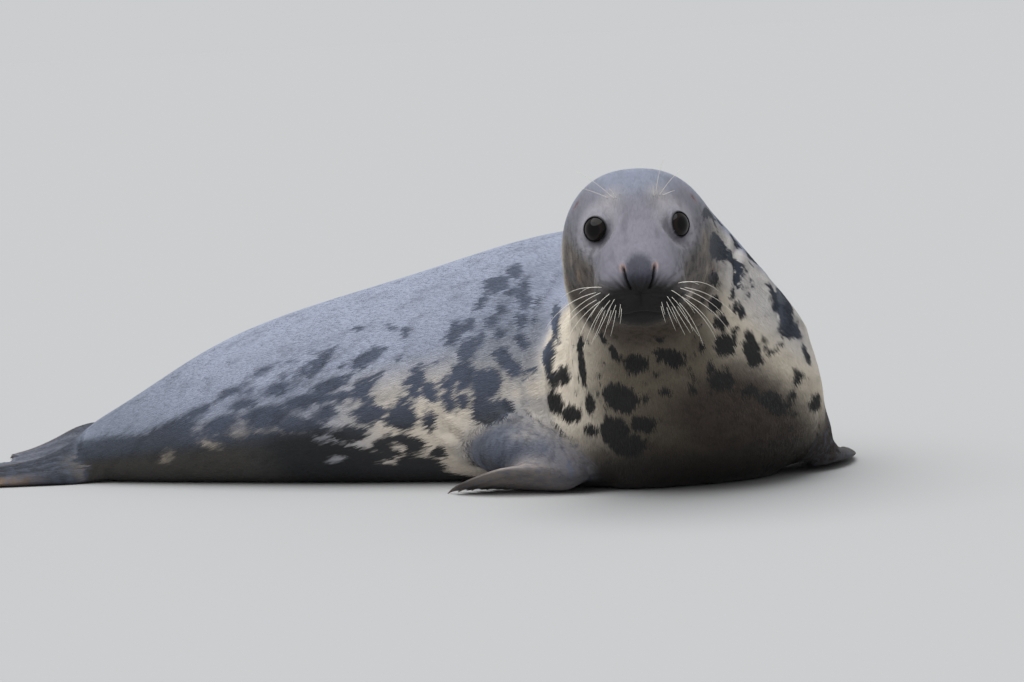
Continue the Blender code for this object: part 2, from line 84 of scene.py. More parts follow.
def cubic(stations, values):
    """A natural cubic spline through the stations, as a function."""
    x, y = np.array(stations, float), np.array(values, float)
    n, h = len(x), np.diff(x)
    system, right = np.eye(n), np.zeros(n)
    for i in range(1, n - 1):
        system[i, i - 1 : i + 2] = h[i - 1], 2 * (h[i - 1] + h[i]), h[i]
        right[i] = 6 * ((y[i + 1] - y[i]) / h[i] - (y[i] - y[i - 1]) / h[i - 1])
    bend = np.linalg.solve(system, right)

    def value(at):
        at = np.clip(np.asarray(at, float), x[0], x[-1])
        i = np.clip(np.searchsorted(x, at) - 1, 0, n - 2)
        a, b = (x[i + 1] - at) / h[i], (at - x[i]) / h[i]
        curve = (a**3 - a) * bend[i] + (b**3 - b) * bend[i + 1]
        return a * y[i] + b * y[i + 1] + curve * h[i] ** 2 / 6

    return value


def unit(vectors):
    return vectors / np.maximum(np.linalg.norm(vectors, axis=-1, keepdims=True), 1e-12)


def ease(low, high, value):
    """0 below low and 1 above high, with a smooth slope between."""
    t = np.clip((np.asarray(value, float) - low) / (high - low), 0, 1)
    return t * t * (3 - 2 * t)


def hill(value, middle, width):
    """1 at the middle, falling off smoothly, and about a third of it at this width away."""
    return np.exp(-(((value - middle) / width) ** 2))


def squared(value, squareness):
    return np.sign(value) * np.abs(value) ** (2 / squareness)


COLUMNS = list(zip(*BODY))
HEADING, CLIMB, HALF, RISE, DROP, TOP, LOW, SAG = (cubic(COLUMNS[0], c) for c in COLUMNS[1:])


def directions(along):
    """Forward, left and up of the body's section at this distance from the tail."""
    heading, climb = np.radians(HEADING(along)), np.radians(CLIMB(along))
    ch, sh, cc, sc = np.cos(heading), np.sin(heading), np.cos(climb), np.sin(climb)
    forward = np.stack([cc * ch, cc * sh, sc], -1)
    left = np.stack([-sh, ch, np.zeros_like(ch)], -1)
    return forward, left, np.stack([-sc * ch, -sc * sh, cc], -1)


STEP = 0.002
WALK = np.arange(0, NOSE_TIP + STEP, STEP)
CENTRES = np.vstack([np.zeros(3), np.cumsum(directions(WALK[:-1] + STEP / 2)[0] * STEP, 0)])
CENTRES += np.array(TAIL_ROOT)


def centre(along):
    return np.stack([np.interp(along, WALK, CENTRES[:, k]) for k in range(3)], -1)


def body_points(along, turn, grow=0.0):
    """Points of the body. turn is 0 on the back and pi on the belly, past the left side at pi / 2."""
    _, left, up = directions(along)
    t = np.clip((along - (NOSE_TIP - MUZZLE_ROUND)) / MUZZLE_ROUND, 0, 1)
    shrink = (1 - t**MUZZLE_SHAPE) ** (1 / MUZZLE_SHAPE)
    side, high = np.sin(turn), np.cos(turn)
    square = np.where(high > 0, TOP(along), LOW(along))
    sag = SAG(along) * np.where(side > 0, 1, RIGHT_SAG)
    across = (HALF(along) * shrink * (1 - sag * high) + grow) * squared(side, square)
    height = (np.where(high > 0, RISE(along), DROP(along)) * shrink + grow) * squared(high, square)
    points = centre(along) + across[..., None] * left + height[..., None] * up
    below = np.minimum(points[..., 2] + grow, 0)
    return points - (below / up[..., 2])[..., None] * up


HEAD_FORWARD, HEAD_LEFT, HEAD_UP = directions(np.array(NOSE_TIP))
HEAD_TIP = centre(np.array(NOSE_TIP))


def to_head(points):
    """World points as (back, left, up) from the tip of the nose."""
    away = points - HEAD_TIP
    return np.stack([-away @ HEAD_FORWARD, away @ HEAD_LEFT, away @ HEAD_UP], -1)


def from_head(local):
    local = np.asarray(local, float)
    return HEAD_TIP - local[..., :1] * HEAD_FORWARD + local[..., 1:2] * HEAD_LEFT + local[..., 2:] * HEAD_UP


def seal_surface(along, turn, grow=0.0):
    local = to_head(body_points(along, turn, grow))
    for where, reach, push in HEAD_FORMS:
        for side in (1, -1):
            middle = np.array(where) * (1, side, 1)
            strength = np.exp(-((((local - middle) / reach) ** 2).sum(-1)))
            share = 0.5 if where[1] == 0 else 1.0
            local = local + share * strength[..., None] * np.array(push) * (1, side, 1)
    return from_head(local)


AROUND = 224  # points round each section
# Distance between sections: wide on the back, close at the folds of the neck and on the face.
SPACING = ((0.0, 0.013), (0.95, 0.012), (1.10, 0.0065), (1.38, 0.0055), (1.47, 0.0028), (1.67, 0.0024))
TURNS = np.linspace(-math.pi, math.pi, AROUND, endpoint=False)
stops = [0.002]
while stops[-1] < NOSE_TIP - MUZZLE_ROUND:
    stops.append(stops[-1] + np.interp(stops[-1], *zip(*SPACING)))
muzzle = np.linspace(0, math.pi / 2, 34)[1:-1]  # sections close up where the muzzle rounds off
start = stops.pop()
stops += list(start + (NOSE_TIP - 0.0015 - start) * np.sin(muzzle) ** (2 / MUZZLE_SHAPE))
ALONG, TURN = np.meshgrid(stops, TURNS, indexing="ij")
grow = -np.interp(ALONG, (1.38, 1.50), (COAT_DEPTH, FACE_DEPTH))
rings = seal_surface(ALONG, TURN, grow)


def add_to_scene(name, data):
    made = bpy.data.objects.new(name, data)
    bpy.context.scene.collection.objects.link(made)
    return made


def closed_loft(name, rings, zip_end=False):
    """A closed mesh through rings of points. An end is closed by smaller rings, or zipped if flat."""
    rings = [np.asarray(ring) for ring in rings]
    first, last = rings[0].mean(0), rings[-1].mean(0)
    rings = [first + (rings[0] - first) * share for share in (0.33, 0.66)] + rings
    if not zip_end:
        rings += [last + (rings[-1] - last) * share for share in (0.66, 0.33)]
    count, rows = len(rings[0]), len(rings)
    i, j = np.arange(count), (np.arange(count) + 1) % count
    faces = [
        (row * count + a, row * count + b, (row + 1) * count + b, (row + 1) * count + a)
        for row in range(rows - 1)
        for a, b in zip(i, j)
    ]
    points = [*np.vstack(rings), first]
    faces += [(b, a, rows * count) for a, b in zip(i, j)]
    end = (rows - 1) * count
    if zip_end:
        faces.append((end, end + 1, end + count - 1))
        for k in range(1, count // 2 - 1):
            faces.append((end + k, end + k + 1, end + count - k - 1, end + count - k))
        faces.append((end + count // 2 - 1, end + count // 2, end + count // 2 + 1))
    else:
        points.append(last)
        faces += [(end + a, end + b, rows * count + 1) for a, b in zip(i, j)]
    mesh = bpy.data.meshes.new(name)
    mesh.from_pydata([tuple(p) for p in points], [], [tuple(map(int, f)) for f in faces])
    shell = bmesh.new()
    shell.from_mesh(mesh)
    bmesh.ops.remove_doubles(shell, verts=shell.verts, dist=1e-6)
    bmesh.ops.recalc_face_normals(shell, faces=shell.faces)
    shell.to_mesh(mesh)
    shell.free()
    return add_to_scene(name, mesh)


skin = closed_loft("skin", list(rings))

# ================================================================ flippers and tail
# The fore flippers are short paws with five digits in one web, the hind ones are a pair
# of fans laid together behind, and the tail is a stub between them. Their thin skin runs
# straight on from the body's, so they are joined to it and the joins are smoothed.
FOREARMS = {
    "right": (
        ((-0.183, -0.030, 0.060), 0.024, 0.026), ((-0.160, -0.046, 0.060), 0.036, 0.040),
        ((-0.100, -0.080, 0.062), 0.044, 0.049), ((-0.035, -0.116, 0.054), 0.043, 0.048),
        ((0.015, -0.142, 0.038), 0.036, 0.036), ((0.036, -0.150, 0.030), 0.022, 0.024),
    ),
    "left": (
        ((0.235, 0.130, 0.180), 0.036, 0.030), ((0.270, 0.112, 0.134), 0.046, 0.038),
        ((0.304, 0.090, 0.082), 0.041, 0.034), ((0.322, 0.066, 0.038), 0.035, 0.030),
        ((0.327, 0.056, 0.016), 0.028, 0.024),
    ),
}
TAIL = (
    ((-0.915, 0.160, 0.062), 0.024, 0.012), ((-0.950, 0.160, 0.054), 0.022, 0.011),
    ((-0.980, 0.160, 0.045), 0.017, 0.009), ((-1.004, 0.160, 0.037), 0.009, 0.006),
    ((-1.012, 0.160, 0.034), 0.003, 0.003),
)
FORE_BLADE = {
    "wide": (0.026, 0.034, 0.042, 0.046, 0.044), "thick": (0.018, 0.015, 0.012, 0.010, 0.007),
    "length": (0.76, 0.86, 0.93, 0.98, 1.00), "claw": 0.028, "claw_base": 0.0042,
}
HIND_BLADE = {
    "wide": (0.044, 0.042, 0.043, 0.046, 0.047), "thick": (0.026, 0.018, 0.012, 0.009, 0.007),
    "length": (1.00, 0.88, 0.82, 0.88, 1.00), "claw": 0.012, "claw_base": 0.0028,
}
FLIPPERS = {
    "fore_flipper_right": {
        "line": ((0.020, -0.146, 0.026), (-0.030, -0.147, 0.026), (-0.078, -0.137, 0.023),
                 (-0.126, -0.119, 0.016), (-0.172, -0.095, 0.008)),
        "chord": ((0, -0.6, 0.8), (0, -0.75, 0.66), (0, -0.86, 0.50), (0, -0.95, 0.30), (0.1, -0.98, 0.12)),
        **FORE_BLADE,
    },
    "fore_flipper_left": {
        "line": ((0.326, 0.056, 0.020), (0.322, 0.110, 0.020), (0.312, 0.162, 0.017),
                 (0.296, 0.212, 0.013), (0.275, 0.258, 0.008)),
        "chord": ((1, 0.1, 0.3), (0.97, 0.25, 0), (0.9, 0.42, -0.1), (0.8, 0.6, -0.1), (0.7, 0.72, 0)),
        **FORE_BLADE,
    },
    "hind_flipper_right": {
        "line": ((-0.905, 0.112, 0.040), (-0.975, 0.104, 0.024), (-1.050, 0.094, 0.016),
                 (-1.130, 0.088, 0.013), (-1.210, 0.086, 0.011)),
        "chord": ((0, 0.40, 0.9), (0, 0.90, 0.42), (0, 0.97, 0.22), (0, 0.99, 0.12), (0, 1, 0.06)),
        **HIND_BLADE,
    },
    "hind_flipper_left": {
        "line": ((-0.905, 0.208, 0.046), (-0.970, 0.220, 0.042), (-1.036, 0.236, 0.031),
                 (-1.102, 0.256, 0.020), (-1.162, 0.280, 0.014)),
        "chord": ((0, 0.10, 1), (0, 0.40, 0.92), (0.1, 0.75, 0.62), (0.2, 0.92, 0.34), (0.3, 0.94, 0.16)),
        **HIND_BLADE,
    },
}
DIGITS = (-0.80, -0.42, -0.02, 0.40, 0.80)  # across the blade, from the fifth to the first
DIGIT_WIDTH, WEB_NOTCH, WEB_THICKNESS = 0.15, 0.06, 0.5
PAW_DEPTH = 0.001  # depth of the hair on the flippers


def even_cubic(values):
    """A cubic through values that are evenly spaced from 0 to 1."""
    return cubic(np.linspace(0, 1, len(values)), values)


def curve_through(points):
    axes = [even_cubic(column) for column in zip(*points)]
    return lambda at: np.stack([axis(at) for axis in axes], -1)


def above_floor(points, least):
    return points * (1, 1, 0) + np.maximum(points[..., 2:], least) * (0, 0, 1)


def digit_strength(across):
    return sum(hill(across, digit, DIGIT_WIDTH) for digit in DIGITS)


def blade_places(spec, share, across):
    """Middle of the blade, its directions and its half thickness, at a share of each digit's length."""
    reach = cubic(DIGITS, spec["length"])(across) - WEB_NOTCH * (1 - digit_strength(across)) * share**2
    at = share * np.clip(reach, 0, 1)
    line = curve_through(spec["line"])
    forward = unit(line(np.minimum(at + 0.01, 1)) - line(np.minimum(at + 0.01, 1) - 0.02))
    chord = curve_through(spec["chord"])(at)
    chord = unit(chord - (chord * forward).sum(-1, keepdims=True) * forward)
    normal = np.cross(forward, chord)
    wide, thick = even_cubic(spec["wide"])(at), even_cubic(spec["thick"])(at)
    ridge = WEB_THICKNESS + (1 - WEB_THICKNESS) * np.minimum(digit_strength(across), 1)
    even = np.clip(1 - share, 0, 1)
    body = np.sqrt(np.maximum(1 - across**2, 0)) ** (0.6 + 0.4 * even)
    half = thick * body * (even + (1 - even) * ridge)
    return line(at) + (wide * across)[..., None] * chord, forward, normal, half


def blade_ring(spec, share, around=72):
    turn = np.linspace(0, 2 * math.pi, around, endpoint=False)
    middle, _, normal, half = blade_places(spec, np.full(around, share), np.cos(turn))
    side = np.where(np.abs(np.sin(turn)) < 1e-9, 0, np.sign(np.sin(turn)))
    thick = np.maximum(half - PAW_DEPTH, 0.3 * half)
    return above_floor(middle + (thick * side)[..., None] * normal, PAW_DEPTH)


def limb_rings(table, around, depth, count):
    """Rings of an oval limb whose table is (place, half width, half height)."""
    places, widths, heights = zip(*table)
    line, wide, high = curve_through(places), even_cubic(widths), even_cubic(heights)
    turn = np.linspace(0, 2 * math.pi, around, endpoint=False)
    rings = []
    for at in np.linspace(0, 1, count):
        ahead = unit(line(min(at + 0.02, 1)) - line(min(at + 0.02, 1) - 0.04))
        side = unit(np.cross((0.0, 0.0, 1.0), ahead))
        across = (wide(at) - depth) * np.cos(turn)[:, None] * side
        raised = (high(at) - depth) * np.sin(turn)[:, None] * np.cross(ahead, side)
        rings.append(above_floor(line(at) + across + raised, depth))
    return rings


limbs = {}
for side, table in FOREARMS.items():
    limbs[f"forearm_{side}"] = closed_loft(f"arm_{side}", limb_rings(table, 56, COAT_DEPTH, 26))
for name, spec in FLIPPERS.items():
    shares = np.linspace(0, 1, 34) ** 0.8
    limbs[name] = closed_loft(f"{name}_skin", [blade_ring(spec, share) for share in shares], zip_end=True)
limbs["tail"] = closed_loft("tail_skin", limb_rings(TAIL, 40, PAW_DEPTH, 18))


def read(items, field, size=1, kind=float):
    """One field of all vertices, edges, loops or faces of a mesh."""
    values = np.empty(len(items) * size, kind)
    items.foreach_get(field, values)
    return values.reshape(-1, size) if size > 1 else values


def limb_curve(name):
    """The line along a flipper, a forearm or the tail, from its root to its end."""
    if name in FLIPPERS:
        return curve_through(FLIPPERS[name]["line"])
    return curve_through([row[0] for row in (TAIL if name == "tail" else FOREARMS[name[8:]])])


def tree_of(places, numbers):
    """A search tree of places, which answers with their numbers."""
    made = kdtree.KDTree(len(numbers))
    for place, number in zip(places, numbers):
        made.insert(place, int(number))
    made.balance()
    return made


# What each point of skin belongs to, and how far along and round that part it lies.
PARTS = ["body", *limbs]
sources, source_part = [rings.reshape(-1, 3)], [np.zeros(ALONG.size)]
source_along, source_turn = [ALONG.ravel()], [TURN.ravel()]
for number, (name, limb) in enumerate(limbs.items(), 1):
    corners = read(limb.data.vertices, "co", 3)
    sources.append(corners)
    source_part.append(np.full(len(corners), number))
    stations = np.linspace(0, 1, 101)
    track = limb_curve(name)(stations)
    nearest = ((corners[:, None] - track[None]) ** 2).sum(-1).argmin(1)
    if name in FLIPPERS:
        side = unit(curve_through(FLIPPERS[name]["chord"])(stations[nearest]))
    else:
        side = unit(np.cross(unit(np.gradient(track, axis=0))[nearest], (0.0, 0.0, 1.0)))
    away = corners - track[nearest]
    source_along.append(stations[nearest])
    source_turn.append((away * side).sum(-1))  # metres across the limb
sources, source_part = np.vstack(sources), np.concatenate(source_part)
source_along, source_turn = np.concatenate(source_along), np.concatenate(source_turn)

for name, limb in limbs.items():
    join = skin.modifiers.new(name, "BOOLEAN")
    join.operation, join.solver, join.object = "UNION", "MANIFOLD", limb
bpy.context.view_layer.update()
joined = bpy.data.meshes.new_from_object(skin.evaluated_get(bpy.context.evaluated_depsgraph_get()))
skin.modifiers.clear()
skin.data = joined
for limb in limbs.values():
    bpy.data.objects.remove(limb)

# ================================================================ the face and the folds
# Thin skin over the skull: round lids on the eyeballs, slit nostrils, the lips, whisker
# pads, and small ear holes with no flap. Behind them the blubber folds at the neck, at the
# front of the chest and at the elbow. Made by moving the points of the joined skin.
EYE = (0.1100, 0.053, 0.0670)  # middle of the left eyeball, (back, left, up) from the nose
EYE_RADIUS = 0.0220
# For each eye: how far it looks out and up, in degrees, and the half width and height of its lids.
LIDS = {-1: (28, 15, 0.0180, 0.0180), 1: (42, 14, 0.0160, 0.0182)}
LID_THICKNESS = 0.0013
NOSTRIL = ((0.0225, 0.0365), (0.0195, 0.023), (0.0130, 0.008))  # (out, up) from the top down
EAR_PLACE = (1.490, 51.0)
FAR = 9.0  # metres, farther than any part of her
MOUTH = ((-0.03, -0.026), (0.010, -0.028), (0.040, -0.031), (0.070, -0.036))  # (back, up)


def eye_at(side):
    return np.array(EYE) * (1, side, 1)


def lid_frame(side):
    """Middle of an eyeball with the directions it looks in, across its lids and up them."""
    out, rise, wide, high = LIDS[side]
    a, e = math.radians(out), math.radians(rise)
    axis = np.array((-math.cos(e) * math.cos(a), side * math.cos(e) * math.sin(a), math.sin(e)))
    over = unit(np.array((0.0, 0.0, 1.0)) - axis[2] * axis)
    return eye_at(side), axis, np.cross(over, axis), over, wide, high


def from_lines(points, line):
    """Distance of each point to a line through corners, and the share of the line passed there."""
    line = np.asarray(line, float)
    best, share = np.full(len(points), FAR), np.zeros(len(points))
    for k, (a, b) in enumerate(zip(line, line[1:])):
        t = np.clip(((points - a) @ (b - a)) / ((b - a) @ (b - a)), 0, 1)
        away = np.linalg.norm(points - a - t[:, None] * (b - a), axis=1)
        share = np.where(away < best, (k + t) / (len(line) - 1), share)
        best = np.minimum(best, away)
    return best, share


def mouth_height(local):
    """Height of the line between the lips, lower below the two whisker pads."""
    return np.interp(local[:, 0], *zip(*MOUTH)) - 0.005 * hill(np.abs(local[:, 1]), 0.028, 0.018)


def refine(mesh, wanted):
    """Splits the faces whose middles are wanted."""
    shell = bmesh.new()
    shell.from_mesh(mesh)
    shell.faces.ensure_lookup_table()
    middles = to_head(np.array([face.calc_center_median() for face in shell.faces]))
    edges = {edge for k in np.nonzero(wanted(middles))[0] for edge in shell.faces[k].edges}
    bmesh.ops.subdivide_edges(shell, edges=list(edges), cuts=1, use_grid_fill=True)
    shell.to_mesh(mesh)
    shell.free()


def near_eye(reach):
    return lambda at: np.min([np.linalg.norm(at - eye_at(side), axis=1) for side in (1, -1)], 0) < reach


def near_nostril(reach):
    def wanted(at):
        slit_away, _ = from_lines(np.abs(at[:, 1:]), NOSTRIL)
        return (slit_away < reach) & (at[:, 0] < 0.03) & (at[:, 2] > 0)

    return wanted


def near_lips(reach):
    return lambda at: (np.abs(at[:, 2] - mouth_height(at)) < reach) & (at[:, 0] < 0.068)


refine(skin.data, lambda at: near_eye(0.034)(at) | near_nostril(0.010)(at) | near_lips(0.004)(at))
refine(skin.data, lambda at: near_eye(0.0275)(at) | near_nostril(0.005)(at))


# Each point takes what the three nearest corners of its own part say.
points, ends = read(skin.data.vertices, "co", 3), read(skin.data.edges, "vertices", 2, np.int64)
all_corners = tree_of(sources, range(len(sources)))
found = [all_corners.find_n(place, 3) for place in points]
index = np.array([[hit[1] for hit in hits] for hits in found])
near = 1 / (np.array([[hit[2] for hit in hits] for hits in found]) + 1e-5)
part = source_part[index[:, 0]].astype(int)
near *= source_part[index] == part[:, None]
near /= near.sum(1, keepdims=True)
along = (source_along[index] * near).sum(1)
turn = (source_turn[index] * near).sum(1)
is_body = part == 0
sine, cosine = (np.sin(source_turn[index]) * near).sum(1), (np.cos(source_turn[index]) * near).sum(1)
turn = np.where(is_body, np.arctan2(sine, cosine), turn)
count = np.bincount(ends.ravel(), minlength=len(points))


def on_limb(kind):
    """Which points lie on the limbs whose names start so."""
    return np.isin(part, [k for k, name in enumerate(PARTS) if name.startswith(kind)])


def relaxed(values, strength, rounds):
    """Values evened out along the edges, by up to strength (0 to 1) at each point."""
    near = ends[(strength[ends] > 0).any(1)]
    strength, shared = (strength[:, None], count[:, None]) if values.ndim > 1 else (strength, count)
    for _ in range(rounds):
        total = np.zeros_like(values)
        np.add.at(total, near[:, 0], values[near[:, 1]])
        np.add.at(total, near[:, 1], values[near[:, 0]])
        mean = total / shared
        values = values + strength * (mean - values)
    return values


# The joins of the limbs with the body, rounded over these distances, in so many rounds.
JOINS = {
    "forearm": (0.040, 110), "fore_flipper": (0.014, 50), "hind_flipper": (0.030, 40), "tail": (0.022, 30),
}
joint_away = np.full(len(points), FAR)  # distance from the nearest join
for kind, (reach, rounds) in JOINS.items():
    mine = on_limb(kind)
    seam = np.unique(ends[mine[ends[:, 0]] != mine[ends[:, 1]]])
    seam_tree = tree_of(points[seam], seam)
    from_above = [np.linalg.norm(points[:, :2] - points[k, :2], axis=1) for k in seam[::9]]
    close = np.nonzero(np.min(from_above, 0) < reach + 0.03)[0]
    away = np.full(len(points), FAR)
    away[close] = [seam_tree.find(points[k])[2] for k in close]
    points = relaxed(points, 0.5 * (1 - ease(0.2 * reach, reach, away)), rounds)
    joint_away = np.minimum(joint_away, away)


def settle(points):
    """Moves the skin's corners, and gives the way each one faces and its place on the head."""
    skin.data.vertices.foreach_set("co", points.ravel())
    skin.data.update()
    return read(skin.data.vertices, "normal", 3), to_head(points)


normals, local = settle(points)
facing = np.stack([-normals @ HEAD_FORWARD, normals @ HEAD_LEFT, normals @ HEAD_UP], -1)
front = is_body & (along > 1.40)

# Lids: round each eye the skin is drawn to a plane across the eyeball and wraps it.
lid = np.zeros(len(points))  # 1 on the bare rim of the lids
for side in (1, -1):
    middle, axis, across, over, wide, high = lid_frame(side)
    away = local - middle
    height = away @ axis
    x, y = away @ across, away @ over
    rho = np.hypot(x, y)
    near_rim = np.hypot(x / wide, y / high)
    mine = front & (rho < 0.045) & (height > -0.012)
    snap = mine & (np.abs(near_rim - 1) < 0.035)
    x, y = (np.where(snap, value / near_rim, value) for value in (x, y))
    rho = np.hypot(x, y)
    near_rim = np.hypot(x / wide, y / high)
    shell = EYE_RADIUS + LID_THICKNESS
    edge = 0.90 * shell
    dome = np.sqrt(np.maximum(shell**2 - np.minimum(rho, edge) ** 2, 0)) - np.maximum(rho - edge, 0) * 0.75
    crease = 0.0007 * hill(near_rim, 1.42, 0.09) * ease(-0.2, 0.5, y / high)
    inside = np.sqrt(np.maximum(EYE_RADIUS**2 - rho**2, 0)) - 0.0035 * ease(0.0, 1.0, (1 - near_rim) / 0.10)
    target = np.where(near_rim < 0.999, inside, dome - crease)
    weight = np.where(near_rim < 1.08, 1.0, 1 - ease(0.0205, np.where(height > dome, 0.040, 0.033), rho))
    height = height + weight * (target - height)
    moved = middle + x[:, None] * across + y[:, None] * over + height[:, None] * axis
    local = np.where(mine[:, None], moved, local)
    lid = np.where(mine, np.maximum(lid, 1 - ease(1.02, 1.16, near_rim)), lid)

# Nostrils: two slits that close below, each with a raised wing on its outer side.
b, l, u = local.T  # how far back, left and up from the tip of the nose
slit_away, slit_share = from_lines(np.abs(local[:, 1:]), NOSTRIL)
slit_away = np.where((u > 0) & (b < 0.035), slit_away, FAR)
nostril = hill(slit_away, 0, 0.0024 - 0.0010 * slit_share) * front
wing = hill(slit_away, 0.0045, 0.0025) * (1 - 0.5 * slit_share) * front
push = -0.0055 * nostril + 0.0009 * wing * (slit_away < 0.02)  # outwards, in metres
# The groove below the nose, and the line between the lips.
groove = hill(l, 0, 0.0016) * ease(-0.022, -0.014, u) * (1 - ease(0.004, 0.012, u))
push += -0.0016 * groove * front * (b < 0.02)
lips = hill(u, mouth_height(local), 0.0021) * (1 - ease(0.030, 0.065, b)) * front * (facing[:, 2] < 0.75)
push += -0.0024 * lips


# Pores of the whiskers, as low swellings in rows on the pads.
def pore(row, column):
    """How far out from the middle of the face and how high a whisker stands."""
    return 0.019 + 0.0072 * column, 0.010 - 0.0068 * row - 0.0010 * column


for side in (1, -1):
    for out, up in (pore(row, column) for row in range(5) for column in range(6)):
        push += 0.0007 * hill(np.hypot(l - side * out, u - up), 0, 0.0020) * front * (b < 0.05)
# Ear holes, upright slits behind the eyes.
ear = np.zeros(len(points))
for side in (1, -1):
    middle = to_head(seal_surface(np.array(EAR_PLACE[0]), np.radians(side * EAR_PLACE[1]), -FACE_DEPTH))
    away = local - middle
    hole = np.hypot(away[:, 0] / 0.0028, (away @ unit(np.array((0.0, -side * 0.5, 0.85)))) / 0.0042)
    push += front * (0.0010 * hill(hole, 2.1, 0.7) - 0.0045 * hill(hole, 0, 1))
    ear = np.maximum(ear, hill(hole, 0, 1.9) * front)
local = local + push[:, None] * facing
points = np.where(front[:, None], from_head(local), points)

# Folds of the blubber, each a line of (along, turn) places with its width and depth.
FOLDS = (
    (((1.30, 62), (1.34, 78), (1.345, 92), (1.32, 104)), 0.010, 0.0050),  # left side of the neck
    (((1.20, 70), (1.23, 84), (1.235, 100)), 0.014, 0.0030),
    (((1.14, -62), (1.12, -78), (1.07, -98), (1.06, -118), (1.08, -136)), 0.015, 0.0075),  # chest, in front
    (((1.42, -70), (1.35, -92), (1.27, -108), (1.20, -120)), 0.010, 0.0035),
    (((1.47, -84), (1.40, -104), (1.32, -118), (1.24, -130)), 0.009, 0.0030),
    (((1.38, -58), (1.30, -74), (1.22, -84)), 0.012, 0.0030),
    (((0.70, -104), (0.74, -112), (0.78, -122)), 0.009, 0.0040),  # behind the right elbow
    (((0.86, -96), (0.90, -102), (0.95, -104)), 0.008, 0.0025),
    (((1.15, 118), (1.13, 132), (1.12, 146)), 0.012, 0.0040),  # before the left elbow
)
for line, width, depth in FOLDS:
    s, t = (cubic(range(len(line)), values)(np.linspace(0, len(line) - 1, 24)) for values in zip(*line))
    track = seal_surface(s, np.radians(t), -COAT_DEPTH)
    away, share = from_lines(points, track)
    fade = ease(0, 0.25, share) * (1 - ease(0.75, 1.0, share)) * is_body
    dent = hill(away, 0, width) - 0.45 * hill(away, 2.1 * width, 1.1 * width)
    points = points - normals * (depth * fade * dent)[:, None]
points = above_floor(points, FACE_DEPTH)

skin.data.shade_smooth()
normals, local = settle(points)

# ================================================================ markings of the coat
# A grey seal cow is blue-grey above and cream below, with slate to black blotches that
# crowd on the flanks and throat, a black muzzle and paler rings round the eyes. Every
# blotch is placed on the body one by one, and the sides that lie hidden get seeded ones.
# Each blotch: along the body (m), turn from the back (deg), half length and width (mm), tilt (deg).
FLANK = (
    (0.592, -69, 28, 14, 25), (0.76, -65, 20, 12, -60), (0.68, -85, 26, 15, 65),
    (0.703, -91, 18, 13, -20), (0.64, -99, 31, 22, 0), (0.58, -85, 26, 16, 30),
    (0.52, -80, 36, 13, 10), (0.48, -86, 52, 13, 0), (0.43, -76, 34, 12, 0), (0.505, -66, 34, 12, 45),
    (0.475, -68, 18, 8, 40), (0.57, -50, 13, 6, -10), (0.63, -55, 13, 6, -30),
    (0.66, -60, 14, 8, -60), (0.62, -66, 10, 5, -10), (0.58, -95, 32, 18, 0), (0.54, -104, 34, 15, 0),
    (0.54, -87, 24, 8, 0), (0.655, -92, 12, 8, 0), (0.40, -90, 50, 17, 0), (0.36, -81, 28, 12, 0),
    (0.31, -90, 42, 14, 10), (0.21, -88, 60, 20, 10), (0.45, -96, 50, 14, -10),
    (0.62, -114, 50, 26, 0), (0.64, -130, 50, 30, 0), (0.69, -102, 20, 12, 70),
    (0.69, -120, 22, 14, 30), (0.40, -62, 24, 7, 15), (0.34, -70, 30, 8, 10), (0.27, -78, 34, 10, 10),
    (0.505, -93, 24, 9, 10), (0.49, -101, 30, 9, 0), (0.56, -77, 9, 6, 20), (0.61, -79, 8, 6, -20),
    (0.44, -69, 9, 6, 30), (0.37, -73, 10, 6, 0), (0.72, -79, 7, 5, 0), (0.53, -59, 8, 4, 20),
    (0.49, -58, 7, 4, -20), (0.45, -61, 8, 4, 0), (0.65, -73, 8, 6, 0), (0.55, -70, 9, 5, 40),
    (0.66, -86, 9, 7, 0),
)
SHOULDER = (
    (0.75, -69, 15, 14, 10), (0.785, -64, 15, 12, 0), (0.805, -54, 15, 13, 50),
    (0.83, -46, 34, 18, -20), (0.86, -40, 26, 14, -40), (0.88, -52, 20, 10, 0),
    (0.91, -52, 34, 15, -60), (0.94, -58, 20, 12, 0), (0.86, -60, 17, 11, -30),
    (0.84, -65, 18, 10, -20), (0.95, -66, 38, 13, -10), (0.785, -76, 22, 20, 0),
    (0.815, -72, 16, 12, 80), (0.87, -71, 25, 8, 0), (0.88, -80, 32, 12, 0), (0.98, -75, 56, 12, -10),
    (1.00, -58, 26, 9, -20), (1.03, -66, 22, 9, -10), (0.775, -86, 30, 20, 0), (0.74, -89, 16, 12, 0),
    (0.735, -96, 15, 14, 80), (0.765, -95, 14, 13, 0), (0.83, -90, 48, 18, 0),
    (0.81, -100, 30, 28, 0), (0.87, -102, 60, 24, 0), (0.84, -108, 50, 20, 10),
    (0.92, -108, 40, 16, 0), (0.95, -87, 50, 13, 0), (0.91, -84, 34, 12, 0), (1.03, -90, 36, 7, 0),
)
